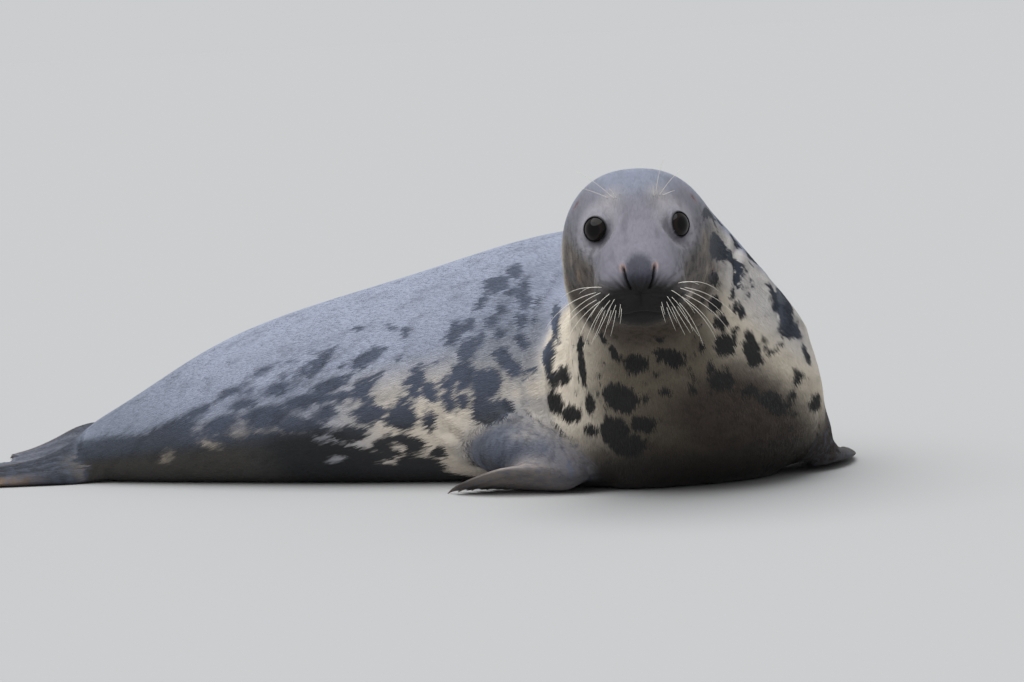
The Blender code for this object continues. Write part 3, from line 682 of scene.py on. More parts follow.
THROAT = (
    (1.155, -78, 60, 14, -60), (1.135, -91, 36, 18, -20), (1.15, -100, 30, 9, -30),
    (1.19, -106, 38, 11, -30), (1.315, -135, 40, 14, 10), (1.13, -106, 38, 15, -30),
    (1.17, -120, 48, 12, -40), (1.25, -141, 34, 12, -30), (1.305, -167, 36, 30, -20),
    (1.40, -175, 30, 16, 0), (1.42, -160, 25, 8, 20), (1.41, 165, 34, 15, 30),
    (1.385, 160, 16, 12, 40), (1.38, 141, 12, 7, 10), (1.33, 125, 30, 16, 20),
    (1.29, 140, 22, 16, 30), (1.32, 140, 15, 8, -20), (1.275, 116, 26, 15, -40),
    (1.25, 112, 7, 5, -70), (1.21, 96, 28, 10, 20), (1.20, 115, 15, 7, 80), (1.20, 125, 13, 6, -80),
    (1.16, 120, 18, 12, 60), (1.32, 170, 12, 8, 10), (1.31, 180, 10, 6, -20), (1.31, 155, 13, 6, -20),
    (1.25, 135, 12, 9, 80), (1.25, -174, 22, 14, -40), (1.22, -155, 46, 22, -40),
    (1.20, -160, 40, 20, -60), (1.19, -137, 26, 9, -50), (1.36, -130, 34, 8, -10),
    (1.45, -150, 18, 7, 10), (1.47, 170, 12, 6, 10), (1.27, -128, 9, 5, 0), (1.29, -152, 7, 5, 0),
    (1.105, -122, 36, 10, -63), (1.215, 133, 26, 14, 0), (1.515, -129, 12, 7, -20),
    (1.49, -135, 12, 5, 0),
)
LEFT_NECK = (
    (1.44, 87, 60, 16, 0), (1.36, 88, 40, 9, 0), (1.335, 106, 10, 6, 0), (1.455, 66, 44, 8, 0),
    (1.43, 70, 14, 6, -60), (1.46, 105, 36, 9, 0), (1.34, 94, 16, 9, 10), (1.352, 101, 14, 7, 0),
    (1.32, 105, 12, 8, 10), (1.42, 118, 36, 11, 10), (1.37, 120, 30, 10, 20), (1.30, 90, 5, 3, 10),
    (1.31, 95, 4, 3, 10), (1.235, 86, 26, 22, 0), (1.21, 84, 46, 17, 70), (1.32, 115, 7, 5, 30),
    (1.27, 62, 32, 12, 40), (1.33, 66, 22, 9, 10), (1.18, 101, 13, 8, -60), (1.30, 76, 7, 3, 0),
    (1.24, 108, 6, 3, 30), (1.225, 104, 8, 4, 0), (1.49, 122, 12, 6, -20),
)
CREAM = (  # pale patches inside the dark ones
    (0.545, -97, 12, 5, 10), (0.56, -91, 7, 4, -10), (0.61, -90, 16, 8, 10), (0.63, -105, 13, 4, -10),
    (0.62, -115, 14, 8, -50), (0.59, -125, 14, 7, -10), (0.50, -120, 16, 7, 20),
    (0.49, -105, 10, 6, 10), (0.49, -90, 8, 3, 0), (0.47, -75, 14, 8, 10), (0.34, -95, 12, 7, -10),
    (0.28, -100, 17, 6, -20), (0.19, -108, 13, 7, 40), (0.36, -85, 6, 4, 20),
    (0.735, -112, 50, 26, 78), (0.67, -105, 14, 4, 80), (0.885, -93, 26, 6, 30),
    (0.945, -94, 42, 9, 0), (1.05, -94, 50, 11, -10), (1.085, -86, 30, 9, -70),
    (1.03, -106, 36, 10, -10), (1.135, -123, 30, 8, -60), (0.85, -84, 16, 3, 20),
    (0.71, -97, 8, 10, 0),
)
# Soft mottles on the cheeks and chin: along, turn, half length and width, then colour and share.
CHEEKS = (
    (1.565, -77, 8, 7, "#3d3a38", 0.6), (1.525, -84, 9, 9, "#9b8d80", 0.6),
    (1.542, -86, 8, 8, "#353332", 0.6), (1.577, -84, 9, 6, "#383029", 0.6),
    (1.560, -91, 9, 7, "#83715d", 0.7), (1.528, -94, 14, 8, "#494c4f", 0.6),
    (1.575, -96, 8, 5, "#3c322b", 0.6), (1.560, -104, 12, 6, "#332e2c", 0.7),
    (1.535, -114, 12, 6, "#3b332c", 0.5), (1.440, -125, 14, 6, "#332c27", 0.6),
    (1.465, -139, 12, 5, "#332c27", 0.6), (1.50, -108, 10, 6, "#8a7c6c", 0.5),
    (1.555, 71, 10, 8, "#55545a", 0.6), (1.572, 77, 9, 8, "#3f3e3e", 0.6),
    (1.520, 66, 12, 7, "#5f6066", 0.6), (1.530, 84, 8, 5, "#a09280", 0.5),
    (1.540, 89, 9, 7, "#3a3634", 0.6), (1.580, 86, 10, 8, "#3c3936", 0.6),
    (1.550, 97, 10, 6, "#3e3631", 0.6), (1.518, 98, 10, 8, "#a59a8a", 0.7),
    (1.578, 114, 11, 9, "#c4bab0", 0.9), (1.515, 76, 8, 8, "#a09280", 0.6),
    (1.585, 100, 8, 5, "#3e3631", 0.5), (1.530, 107, 12, 7, "#8f7f6c", 0.5),
    (1.505, 114, 10, 6, "#3a332e", 0.5),
)
girth = (HALF(along) * 2 + RISE(along) + DROP(along)) / 4  # mean radius of the body here
degrees = np.abs(np.degrees(turn))


def round_from(t):
    """Distance round the body, in metres, from this turn in degrees."""
    return ((turn - math.radians(t) + math.pi) % (2 * math.pi) - math.pi) * girth


def blotch_field(rows):
    """About the distance inside the nearest blotch, in metres, and negative outside all of them."""
    field = np.full(len(points), -0.04)
    for s, t, long, wide, tilt in rows:
        ahead, around = along - s, round_from(t)
        near = is_body & (np.abs(ahead) < 0.12) & (np.abs(around) < 0.12)
        c, n = math.cos(math.radians(tilt)), math.sin(math.radians(tilt))
        x, y = ahead[near] * c + around[near] * n, around[near] * c - ahead[near] * n
        inside = (1 - np.hypot(x / long, y / wide) * 1000) * (long * wide) ** 0.5 / 1000
        field[near] = np.maximum(field[near], inside)
    return field


random = np.random.default_rng(41)
HIDDEN = []  # the left flank and the back of the neck, blotched like the right flank
for _ in range(150):
    s, t = random.uniform(0.12, 1.24), random.uniform(40, 150)
    likely = ease(30, 105, t) * (0.35 + 0.65 * abs(math.sin(7 * s)))
    if random.random() < likely and not (s > 1.08 and t > 70):
        long = random.uniform(10, 38)
        HIDDEN.append((s, t, long, long * random.uniform(0.35, 0.7), random.uniform(-40, 40)))
for _ in range(26):
    HIDDEN.append((random.uniform(1.24, 1.46), random.choice((-1, 1)) * random.uniform(30, 62),
                   random.uniform(6, 18), random.uniform(4, 8), random.uniform(-30, 30)))
FLECKS = [(random.uniform(1.14, 1.44), random.choice((-1, 1)) * random.uniform(100, 180),
           random.uniform(2, 5), random.uniform(1.5, 3), random.uniform(-60, 60)) for _ in range(70)]

# Below this turn (degrees) the flank is dark all over. It rises towards the hind end.
DARK_BELOW = (
    (0.0, 62), (0.12, 80), (0.30, 92), (0.45, 98), (0.60, 120), (0.70, 140), (0.80, 150), (1.30, 170),
)
belly = (np.radians(degrees - np.interp(along, *zip(*DARK_BELOW))) * girth).clip(-0.04, 0.04)
belly = np.where(is_body & (along < 1.12), belly, -0.04)
pale = blotch_field(CREAM)
spots = np.maximum(belly, blotch_field((*FLANK, *SHOULDER, *THROAT, *LEFT_NECK, *HIDDEN, *FLECKS)))
spots = np.where(is_body, np.minimum(spots, -pale), -0.004)
# The edge of a blotch fades over 1 / crisp: 5 mm on the throat, 9 mm on the flank, 20 mm on the rump.
crisp = 50 + 60 * ease(0.42, 0.60, along) + 110 * ease(0.95, 1.15, along) * is_body


def linear(code):
    """An sRGB hex colour as the linear RGBA that a shader takes."""
    parts = [int(code[k : k + 2], 16) / 255 for k in (1, 3, 5)]
    return (*(p / 12.92 if p < 0.04045 else ((p + 0.055) / 1.055) ** 2.4 for p in parts), 1.0)


def tint(colours, where, *steps):
    """The colours with each hex colour blended in, by its share at each point of where."""
    for code, share in steps:
        colours = colours + (where * share)[:, None] * (np.array(linear(code)[:3]) - colours)
    return colours


def along_from(low, high):
    """0 to 1 from low to high along the body, or 1 to 0 where low is the larger."""
    return ease(low, high, along)


def round_to(low, high):
    """The same in degrees round the body, on either side."""
    return ease(low, high, degrees)


left = turn > 0
haze = hill(along, 0.91, 0.11) * hill(np.degrees(turn), -64, 24)  # on the shoulder
cream_from = 66 + 22 * along_from(1.16, 1.04) * (turn < 0)
between = along_from(0.76, 0.82) * along_from(1.14, 1.06) * round_to(62, 76) * (turn < 0)
left_jaw = is_body * along_from(1.36, 1.46) * round_to(50, 66) * round_to(128, 108) * left
ground = tint(
    np.tile(linear("#8e94a5")[:3], (len(points), 1)), is_body,
    ("#6e7583", (1 - along_from(0.02, 0.34)) * 0.9),  # darker to the tail
    ("#626a7a", haze * 0.5),
    ("#cec4b6", round_to(70, 100) * along_from(0.45, 0.65)),  # cream flank, duller behind
    ("#9b9184", round_to(80, 105) * along_from(0.55, 0.35)),
    ("#d2c8b8", along_from(1.00, 1.12) * ease(0, 20, degrees - cream_from)),  # cream neck
    ("#7b7f89", between * (1 - ease(-0.005, 0.005, pale)) * 0.65),  # grey between the blotches
    # A paler grey high on the left of the neck, which is painted sky reflection, and painted shade under
    # the throat.
    ("#b9b5b2", along_from(1.10, 1.20) * round_to(60, 80) * round_to(112, 96) * left),
    ("#4b4234", along_from(1.04, 1.20) * ease(96, 146, degrees + 12 * np.sign(turn) - 12) * 0.9),
    ("#77716d", left_jaw * 0.75),
)
# The blotches: slate above, black on the belly, browner behind, and bluer on the left of the neck.
dark = tint(
    np.tile(linear("#4d5464")[:3], (len(points), 1)), is_body,
    ("#434954", along_from(0.30, 0.18)),
    ("#2f3032", round_to(88, 112)),
    ("#232426", round_to(94, 106) * along_from(0.34, 0.42) * along_from(0.60, 0.50)),
    ("#403e3c", round_to(96, 112) * along_from(0.42, 0.32)),
    ("#1d1d1c", along_from(1.02, 1.14) * round_to(84, 104)),
    ("#232323", along_from(1.15, 1.25) * round_to(88, 112)),
    ("#2c323e", along_from(1.12, 1.20) * left * round_to(110, 94)),
)

# The head: lilac grey above, paler round the eyes, brown-grey cheeks, and a black muzzle.
b, l, u = local.T
on_head = is_body * along_from(1.43, 1.50)
ground = tint(
    ground, on_head,
    ("#7b808f", 1 - round_to(60, 85)),
    ("#6f6e77", ease(0.125, 0.095, u) * (1 - round_to(60, 85))),
    ("#544d48", round_to(58, 84) * np.where(left, 0.8, 1.0)),
    ("#7a7882", hill(l, 0, 0.050) * ease(-0.02, 0.02, u) * ease(0.15, 0.05, b)),
)
for s, t, long, wide, code, share in CHEEKS:
    spread = hill(along, s, long / 1000) * hill(round_from(t), 0, wide / 1000)
    ground = tint(ground, is_body, (code, spread * share))
for side in (1, -1):
    ring = np.linalg.norm((local - eye_at(side)) / (0.040, 0.034, 0.034), axis=1)
    brow = hill(b, 0.128, 0.022) * hill(l, side * 0.034, 0.016)
    ground = tint(ground, on_head, ("#96939a", hill(ring, 0.9, 0.08**0.5) * 0.75), ("#9c9897", brow * 0.6))
# Nose pad: blue-black between the nostrils. Muzzle: black, fading out through the pads in rays.
pad = 1 - np.hypot(l / 0.026, (u - 0.028) / 0.026)
black, bearing = np.hypot(l / 0.080, (u + 0.016) / 0.046), np.arctan2(u + 0.016, l)
rays = 0.04 * np.sin(bearing * 37) + 0.03 * np.sin(bearing * 23 + 1)
muzzle_black = ease(0.085, 0.060, b) * (1 - ease(0.58, 1.10, black + rays))
skin_bare = np.maximum(lid, nostril)
ground = tint(
    ground, on_head,
    # under the jaw: partly the chin's own brown, partly painted shade
    ("#4a3f34", ease(0.028, 0.050, -u) * 0.8),
    ("#3e3f4a", (b < 0.06) * ease(-0.10, 0.30, pad)),
    ("#151413", muzzle_black),
)
nostril_wing = hill(slit_away, 0.0035, 0.0015) * (1 - ease(0.0, 0.25, slit_share))
ground = tint(
    ground, is_body,
    ("#0f0f10", np.clip(skin_bare, 0, 1)),
    ("#a88a80", on_head * nostril_wing * 0.5),
    ("#6b4a3e", ear * 0.9),
    ("#171414", lips * 0.9),
)
dark = tint(dark, on_head, ("#1b1a19", b < 0.09))
# The chest is wet and stained brown where it lies in front, and near the floor the skin is darkened as
# painted shade.
stain = 1 - np.hypot((along - 1.225) / 0.090, round_from(150) / 0.085)
# Painted shade: darker the nearer the skin lies to the floor, from the chest forward.
floor_shade = ease(0.120, 0.030, points[:, 2]) * along_from(0.95, 1.1)
wet_stain_and_floor_shade = is_body * np.clip(np.maximum(ease(-0.35, 0.35, stain), floor_shade), 0, 1) * (along > 0.9)
ground = tint(ground, is_body, ("#3a302a", wet_stain_and_floor_shade * 0.9), ("#1d1a18", floor_shade * 0.85))

# Limbs: slate forearms with paler patches, grey-brown hands, and dark flippers with brown edges.
ARM_PATCHES = (  # on the right forearm: where, how far it reaches, and colour
    ((-0.054, -0.127, 0.104), (0.022, 0.022, 0.012), "#c3b8a8"),
    ((-0.085, -0.130, 0.090), (0.024, 0.02, 0.008), "#a9a29b"),
    ((0.004, -0.161, 0.072), (0.022, 0.026, 0.018), "#8e837c"),
    ((-0.165, -0.090, 0.060), (0.022, 0.03, 0.04), "#44474d"),
    ((-0.100, -0.120, 0.030), (0.070, 0.05, 0.018), "#3a3836"),
    ((0.030, -0.170, 0.030), (0.03, 0.04, 0.03), "#57504b"),
)
forearm = on_limb("forearm")
ground = tint(ground, forearm, ("#5a5f6d", 1.0))
for place, reach, code in ARM_PATCHES:
    ground = tint(ground, forearm, (code, hill(points, place, reach).prod(1) * 0.85))
ground = tint(ground, on_limb("forearm_left"), ("#302a27", 1.0))
back_of_hand = ease(0.10, 0.3, along) * ease(0.75, 0.5, along) * (turn > 0.012) * (normals[:, 2] > 0)
ground = tint(
    ground, on_limb("fore_flipper"),
    ("#6f6864", 1.0),
    ("#a0968f", back_of_hand * 0.8),
    ("#3f3936", ease(0.55, 1.0, along)),
)
ground = tint(ground, on_limb("fore_flipper_left"), ("#352f2b", 1.0))
edge = ease(0.026, 0.042, np.abs(turn)) * 0.9
ground = tint(
    ground, on_limb("hind_flipper"),
    ("#2d3038", 1.0),
    ("#7a6654", edge * ease(0.2, 0.5, along)),
    ("#777a85", on_limb("hind_flipper_left") * (1 - edge) * 0.6),
)
ground = tint(ground, on_limb("tail"), ("#4f525c", 1.0))
ground = relaxed(ground, np.where(lid + nostril + lips + ear > 0.02, 0.0, 0.5), 3)
ground = relaxed(ground, 0.5 * ease(0.030, 0.008, joint_away), 20)

# The lie of the coat: back from the nose and down the flanks, and out along each limb.
lie = -directions(along)[0]
lie[:, 2] -= 0.25 * round_to(40, 80) * is_body
radial = unit(np.stack([np.zeros(len(points)), l, u + 0.01], -1))
lie = np.where((is_body & (along > 1.56))[:, None], lie + (from_head(radial) - HEAD_TIP) * 0.8, lie)
lie = np.where((is_body & (along > 1.0) & (degrees > 100))[:, None], lie + (0, 0, -0.5), lie)
for number, name in enumerate(PARTS[1:], 1):
    line = limb_curve(name)
    ahead = unit(line(np.clip(along + 0.02, 0, 1)) - line(np.clip(along - 0.02, 0, 1)))
    lie = np.where((part == number)[:, None], ahead, lie)
lie = unit(lie - (lie * normals).sum(1, keepdims=True) * normals)
lie = unit(relaxed(lie, np.full(len(points), 0.5), 4))

# Streaks and spots of the coat are drawn along the body, in metres of coat.
LIMB_LENGTH = 0.28  # about, in metres
flow = np.stack([along, turn * girth, np.zeros(len(points))], -1)
flow = np.where(is_body[:, None], flow, np.stack([along * LIMB_LENGTH, turn, part * 1.0], -1))


def keep(name, values, kind="FLOAT", domain="POINT"):
    made = skin.data.attributes.new(name, kind, domain)
    field = {"FLOAT": "value", "FLOAT_COLOR": "color", "FLOAT_VECTOR": "vector", "FLOAT2": "vector"}[kind]
    made.data.foreach_set(field, np.ascontiguousarray(values, np.float32).ravel())


# Where the hair is mottled all over: cheeks, shoulder, flank, the stained chest with its painted shade near
# the floor, and the forearms.
cheek = round_to(52, 78) * (1 - on_head * muzzle_black) * 0.8 + 0.15
flank_haze = hill(along, 0.50, 0.16) * hill(np.degrees(turn), -76, 20)
mottle = np.max([on_head * cheek, left_jaw * 0.7, wet_stain_and_floor_shade * 0.7, haze * 0.7, flank_haze * 0.45], axis=0)
for name, colours in (("ground", ground), ("dark", dark)):
    keep(name, np.hstack([colours, np.ones((len(points), 1))]), "FLOAT_COLOR")
keep("spots", spots)
keep("wet_stain_and_floor_shade", wet_stain_and_floor_shade)
keep("crisp", crisp)
keep("mottle", np.where(is_body, mottle, forearm * 0.45))
keep("bare", np.clip(np.maximum(skin_bare, 0.7 * ear), 0, 1))
keep("flow", flow, "FLOAT_VECTOR")


# Sealskin with its hair: short, dense, stiff hair that lies flat. It gives a soft grey
# gloss along the body and fine streaks, and the edges of the blotches are feathered.
def add_node(tree, kind, links=(), **settings):
    """A node of the tree with its settings, and its inputs set or linked by name or number."""
    made = tree.nodes.new(kind)
    for key, value in settings.items():
        setattr(made, key, value)
    for socket, value in dict(links).items():
        if isinstance(value, bpy.types.NodeSocket):
            tree.links.new(value, made.inputs[socket])
        else:
            made.inputs[socket].default_value = value
    return made


def noise(tree, place, scale, detail):
    sizes = {"Vector": place, "Scale": scale, "Detail": detail}
    return add_node(tree, "ShaderNodeTexNoise", sizes).outputs[0]


def mixed(tree, share, low, high, way="MIX"):
    """Two colours mixed, with 0 for the low one and 1 for the high one."""
    sockets = {0: share, 6: low, 7: high}
    return add_node(tree, "ShaderNodeMix", sockets, data_type="RGBA", blend_type=way).outputs[2]


def shader_of(tree):
    return tree.nodes["Principled BSDF"].inputs


def finish(name, code, roughness, **sockets):
    """A plain material of one colour, to be worked up by the section that uses it."""
    made = bpy.data.materials.new(name)
    made.use_nodes = True
    sockets = {"Base_Color": linear(code), "Roughness": roughness, **sockets}
    for socket, value in sockets.items():
        shader_of(made.node_tree)[socket.replace("_", " ")].default_value = value
    return made


def hair_finish(name, bump):
    made = finish(name, "#8c8f98", 0.58, Specular_IOR_Level=0.25, Sheen_Weight=0.04, Sheen_Roughness=0.4)
    tree = made.node_tree
    shader = shader_of(tree)

    def kept(name, output="Fac"):
        return add_node(tree, "ShaderNodeAttribute", attribute_name=name).outputs[output]

    def drawn_out(ratio):
        """The place on the coat, with shapes this many times longer than they are wide."""
        return add_node(tree, "ShaderNodeMapping", {"Vector": place, "Scale": (1.0, ratio, 1.0)}).outputs[0]

    def sum_up(kind, a, b, c=0.0):
        return add_node(tree, "ShaderNodeMath", {0: a, 1: b, 2: c}, operation=kind).outputs[0]

    def slope(value, low, high, start, end):
        """Start below low and end above high, with a smooth slope between."""
        links = {"Value": value, "From Min": low, "From Max": high, "To Min": start, "To Max": end}
        return add_node(tree, "ShaderNodeMapRange", links, interpolation_type="SMOOTHSTEP").outputs[0]

    place = kept("flow", "Vector")
    # Patches of hair about 13 mm long and 7 mm wide make the ragged edge of a blotch.
    stretched = drawn_out(2.0)
    ragged = noise(tree, stretched, 75.0, 4.0)
    # Locks of hair about 10 mm long and 2 mm wide, drawn as coarse as can be seen.
    streak = noise(tree, drawn_out(6.0), 95.0, 3.0)
    broad = noise(tree, stretched, 9.0, 3.0)
    edge = sum_up("MULTIPLY_ADD", ragged, 0.032, kept("spots"))
    edge = sum_up("MULTIPLY_ADD", streak, 0.006, edge)
    edge = sum_up("MULTIPLY_ADD", sum_up("SUBTRACT", edge, 0.019), kept("crisp"), 0.5)
    inside = slope(edge, 0.0, 1.0, 0.0, 1.0)
    colour = mixed(tree, inside, kept("ground", "Color"), kept("dark", "Color"))
    # Soft grey mottles about 40 mm long and 20 mm wide, which never quite make a blotch.
    cloudy = slope(noise(tree, stretched, 26.0, 2.0), 0.48, 0.70, 1.0, 0.80)
    shade = sum_up("MULTIPLY_ADD", streak, 0.16, 0.92)
    shade = sum_up("MULTIPLY", shade, sum_up("MULTIPLY_ADD", broad, 0.30, 0.87))
    shade = sum_up("MULTIPLY", shade, cloudy)
    # Small dark mottles about 10 mm across, as deep as the skin's own measure of them.
    freckles = slope(noise(tree, place, 105.0, 3.0), 0.47, 0.62, 0.0, 0.55)
    freckles = sum_up("MULTIPLY", freckles, kept("mottle"))
    shade = sum_up("MULTIPLY", shade, sum_up("SUBTRACT", 1.02, freckles))
    grey = add_node(tree, "ShaderNodeCombineColor", {0: shade, 1: shade, 2: shade}).outputs[0]
    tree.links.new(mixed(tree, 1.0, colour, grey, "MULTIPLY"), shader["Base Color"])
    rough = sum_up("MULTIPLY_ADD", kept("wet_stain_and_floor_shade"), -0.20, 0.60)
    rough = sum_up("MULTIPLY_ADD", kept("bare"), -0.32, rough)
    tree.links.new(rough, shader["Roughness"])
    if bump:
        height = sum_up("MULTIPLY_ADD", noise(tree, drawn_out(7.0), 260.0, 2.0), 0.5, streak)
        lifted = add_node(tree, "ShaderNodeBump", {"Strength": 0.55, "Distance": 0.0011, "Height": height})
        tree.links.new(lifted.outputs[0], shader["Normal"])
    return made


sealskin = hair_finish("sealskin_with_flat_hair", True)
skin.data.materials.clear()
skin.data.materials.append(sealskin)
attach(skin, "root")
FLESH = ["rump", "loin", "chest", "neck", "head", "lower_jaw", "ear_left", "ear_right", "tail",
         "forearm_left", "forearm_right", *FLIPPERS]
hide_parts(*FLESH)

# ================================================================ coat
# The hair of a seal is short, stiff and flat, 8 to 15 mm long on the trunk and 3 to 8 mm on
# the head. It lies in small pointed locks, so each lock is one thin closed wedge laid
# along the coat. They are scattered over the skin and carry the skin's own markings.
LOCK_PATCH = 0.003  # side of each lock's own patch on the map of its coat
# Each coat: how many locks, and a lock's length, width and thickness (mm), and lift (deg).
COATS = {
    "coat_rump": (44000, 12.0, 2.1, 0.26, 1.3),
    "coat_loin": (48000, 12.0, 2.1, 0.26, 1.3),
    "coat_chest": (48000, 12.0, 2.1, 0.26, 1.3),
    "coat_shoulder": (48000, 11.0, 1.9, 0.26, 1.7),
    "coat_neck": (48000, 9.0, 1.6, 0.25, 2.0),
    "coat_head": (48500, 5.0, 0.95, 0.16, 2.2),
    "coat_limbs": (48000, 7.0, 1.6, 0.20, 1.8),
}
COAT_ENDS = (0.40, 0.74, 1.02, 1.22, 1.43)  # along the body, where one coat ends and the next starts
HEAD_COAT, LIMB_COAT = 5, 6

mesh = skin.data
loop_corner = read(mesh.loops, "vertex_index", kind=np.int64)
loop_total = read(mesh.polygons, "loop_total", kind=np.int64)
face_of_loop = np.repeat(np.arange(len(mesh.polygons)), loop_total)
first_corner = loop_corner[np.r_[0, np.cumsum(loop_total)[:-1]]]
region = np.where(part[first_corner] > 0, LIMB_COAT, np.searchsorted(COAT_ENDS, along[first_corner]))
keep("coat", region.astype(float), domain="FACE")
# An unwrap of the skin: along the body and round it, each coat filling the whole square.
starts, ends_at = np.array((0.0, *COAT_ENDS, 0.0)), np.array((*COAT_ENDS, NOSE_TIP, 1.0))
across_map = turn[loop_corner] / (2 * math.pi) + 0.5
gap = across_map - (turn[first_corner] / (2 * math.pi) + 0.5)[face_of_loop]
across_map = across_map - np.round(gap)  # a face over the seam below the belly stays whole
box_of = region[face_of_loop]
u_map = (along[loop_corner] - starts[box_of]) / (ends_at - starts)[box_of]
# Each limb has a strip of the square, half of it for the side that faces up.
limb_row = np.maximum(part[loop_corner] - 1, 0)
upper = (normals[loop_corner, 2] > 0) * 0.5
across_limb = (limb_row + upper + np.clip(turn[loop_corner] / 0.12 + 0.5, 0, 1) * 0.42 + 0.03) / len(limbs)
across_map = np.where(box_of == LIMB_COAT, across_limb, across_map)
unwrap = np.stack([0.01 + 0.98 * u_map, 0.01 + 0.98 * across_map], -1).clip(0.002, 0.998)
keep("unwrap", unwrap, "FLOAT2", "CORNER")
keep("lie", lie, "FLOAT_VECTOR")
# How hollow the skin is along the lie of the hair, in 1/m: a lock has to stand up more there.
step = points[ends[:, 1]] - points[ends[:, 0]]
length_2 = (step**2).sum(1)  # squared
bend = -((normals[ends[:, 1]] - normals[ends[:, 0]]) * step).sum(1) / length_2
total, weight = np.zeros(len(points)), np.full(len(points), 1e-9)
for end in (0, 1):
    share = (step * lie[ends[:, end]]).sum(1) ** 2 / length_2
    np.add.at(total, ends[:, end], share * bend)
    np.add.at(weight, ends[:, end], share)
bend = relaxed(total / weight, np.full(len(points), 0.5), 7)
keep("hollow", np.maximum(bend, 0.5 * bend).clip(-30, 110))
# The coat thins out on the rims of the lids, in the nostrils and ears, between the lips,
# and under the belly.
cover = 1 - np.clip(skin_bare * 1.4 + ear + lips, 0, 1)
cover *= 1 - 0.75 * (ease(-0.6, -0.9, normals[:, 2]) * (points[:, 2] < 0.02))
keep("cover", cover)
# On the head the locks are shortest at the muzzle.
on_last_coat = is_body & (along > COAT_ENDS[-1])
keep("lock", np.where(on_last_coat, 0.75 + 0.5 * ease(0.03, 0.13, local[:, 0]), 1.0))

# One lock: a closed wedge of four faces, broad at the root and pointed, with its own flat map.
lock_mesh = bpy.data.meshes.new("lock")
lock_mesh.from_pydata(
    [(-0.05, -0.5, -0.45), (-0.05, 0.5, -0.45), (0.40, 0, 0.9), (1.0, 0, 0.1)], [],
    [(0, 2, 1), (0, 3, 2), (1, 2, 3), (0, 1, 3)],
)
strip = lock_mesh.uv_layers.new(name="strip")
for k in range(4):
    for corner, place in enumerate(((0.0, k / 4), (1.0, k / 4 + 0.12), (0.0, k / 4 + 0.24))):
        strip.data[3 * k + corner].uv = place
lock = add_to_scene("lock", lock_mesh)

# The tree scatters locks over one coat's faces, turns each one to the lie of the hair, and
# lifts its tip a little, more where the skin is hollow.
coat_tree = bpy.data.node_groups.new("lay_the_coat", "GeometryNodeTree")
SIZES = ("Coat", "Locks per m2", "Length", "Width", "Thickness", "Lift")
INPUTS = {"Skin": "Geometry", **dict.fromkeys(SIZES, "Float")}
INPUTS.update({"Seed": "Int", "Lock": "Object", "Hair": "Material"})
for name, kind in INPUTS.items():
    coat_tree.interface.new_socket(name, in_out="INPUT", socket_type=f"NodeSocket{kind}")
coat_tree.interface.new_socket("Coat", in_out="OUTPUT", socket_type="NodeSocketGeometry")
given = coat_tree.nodes.new("NodeGroupInput").outputs


def g(kind, links=(), **settings):
    """The outputs of a new node of the coat's tree."""
    return add_node(coat_tree, kind, links, **settings).outputs


def named(name, kind="FLOAT"):
    made = g("GeometryNodeInputNamedAttribute", {"Name": name}, data_type=kind)
    return next(socket for socket in made if socket.name == "Attribute" and socket.enabled)


def reckon(kind, a, b, c=0.0):
    return g("ShaderNodeMath", {0: a, 1: b, 2: c}, operation=kind)[0]


def pick(low, high, seed):
    return g("FunctionNodeRandomValue", {2: low, 3: high, 8: seed}, data_type="FLOAT")[1]


on_coat = g("FunctionNodeCompare", {0: named("coat"), 1: given["Coat"], 12: 0.4}, operation="EQUAL")[0]
density = reckon("MULTIPLY", named("cover"), given["Locks per m2"])
roots = g("GeometryNodeDistributePointsOnFaces",
          {"Mesh": given["Skin"], "Selection": on_coat, "Density": density, "Seed": given["Seed"]})
laid = g("FunctionNodeAlignRotationToVector", {"Vector": named("lie", "FLOAT_VECTOR")}, axis="X")[0]
laid = {"Rotation": laid, "Vector": roots["Normal"]}
laid = g("FunctionNodeAlignRotationToVector", laid, axis="Z", pivot_axis="X")[0]
long = reckon("MULTIPLY", reckon("MULTIPLY", given["Length"], named("lock")), pick(0.7, 1.25, 7))
lift = reckon("MULTIPLY", given["Lift"], pick(-1.9, -0.5, 3))
lift = reckon("MULTIPLY_ADD", reckon("MULTIPLY", long, named("hollow")), -0.5, lift)
swerve = g("ShaderNodeCombineXYZ", {1: lift, 2: pick(-0.09, 0.09, 5)})[0]
swerve = g("FunctionNodeEulerToRotation", {0: swerve})[0]
laid = g("FunctionNodeRotateRotation", {0: laid, 1: swerve}, rotation_space="LOCAL")[0]
wide = reckon("MULTIPLY", given["Width"], pick(0.7, 1.3, 9))
size = g("ShaderNodeCombineXYZ", {0: long, 1: wide, 2: given["Thickness"]})[0]
shape = g("GeometryNodeObjectInfo", {"Object": given["Lock"]})["Geometry"]
placed = g("GeometryNodeInstanceOnPoints",
           {"Points": roots[0], "Instance": shape, "Rotation": laid, "Scale": size})[0]
solid = g("GeometryNodeRealizeInstances", {0: placed})[0]
patch = {0: named("strip", "FLOAT_VECTOR"), 1: (0.5, 0.5, 0)}
patch = g("ShaderNodeVectorMath", patch, operation="SUBTRACT")[0]
patch = {0: patch, 1: (LOCK_PATCH,) * 3, 2: named("unwrap", "FLOAT_VECTOR")}
patch = g("ShaderNodeVectorMath", patch, operation="MULTIPLY_ADD")[0]
mapped = g("GeometryNodeStoreNamedAttribute", {"Geometry": solid, "Name": "OFBake", "Value": patch},
           data_type="FLOAT2", domain="CORNER")[0]
for name in ("strip", "unwrap", "lie", "hollow", "cover", "lock", "coat"):
    mapped = g("GeometryNodeRemoveAttribute", {0: mapped, "Name": name})[0]
haired = g("GeometryNodeSetMaterial", {0: mapped, "Material": given["Hair"]})[0]
g("NodeGroupOutput", {0: haired})

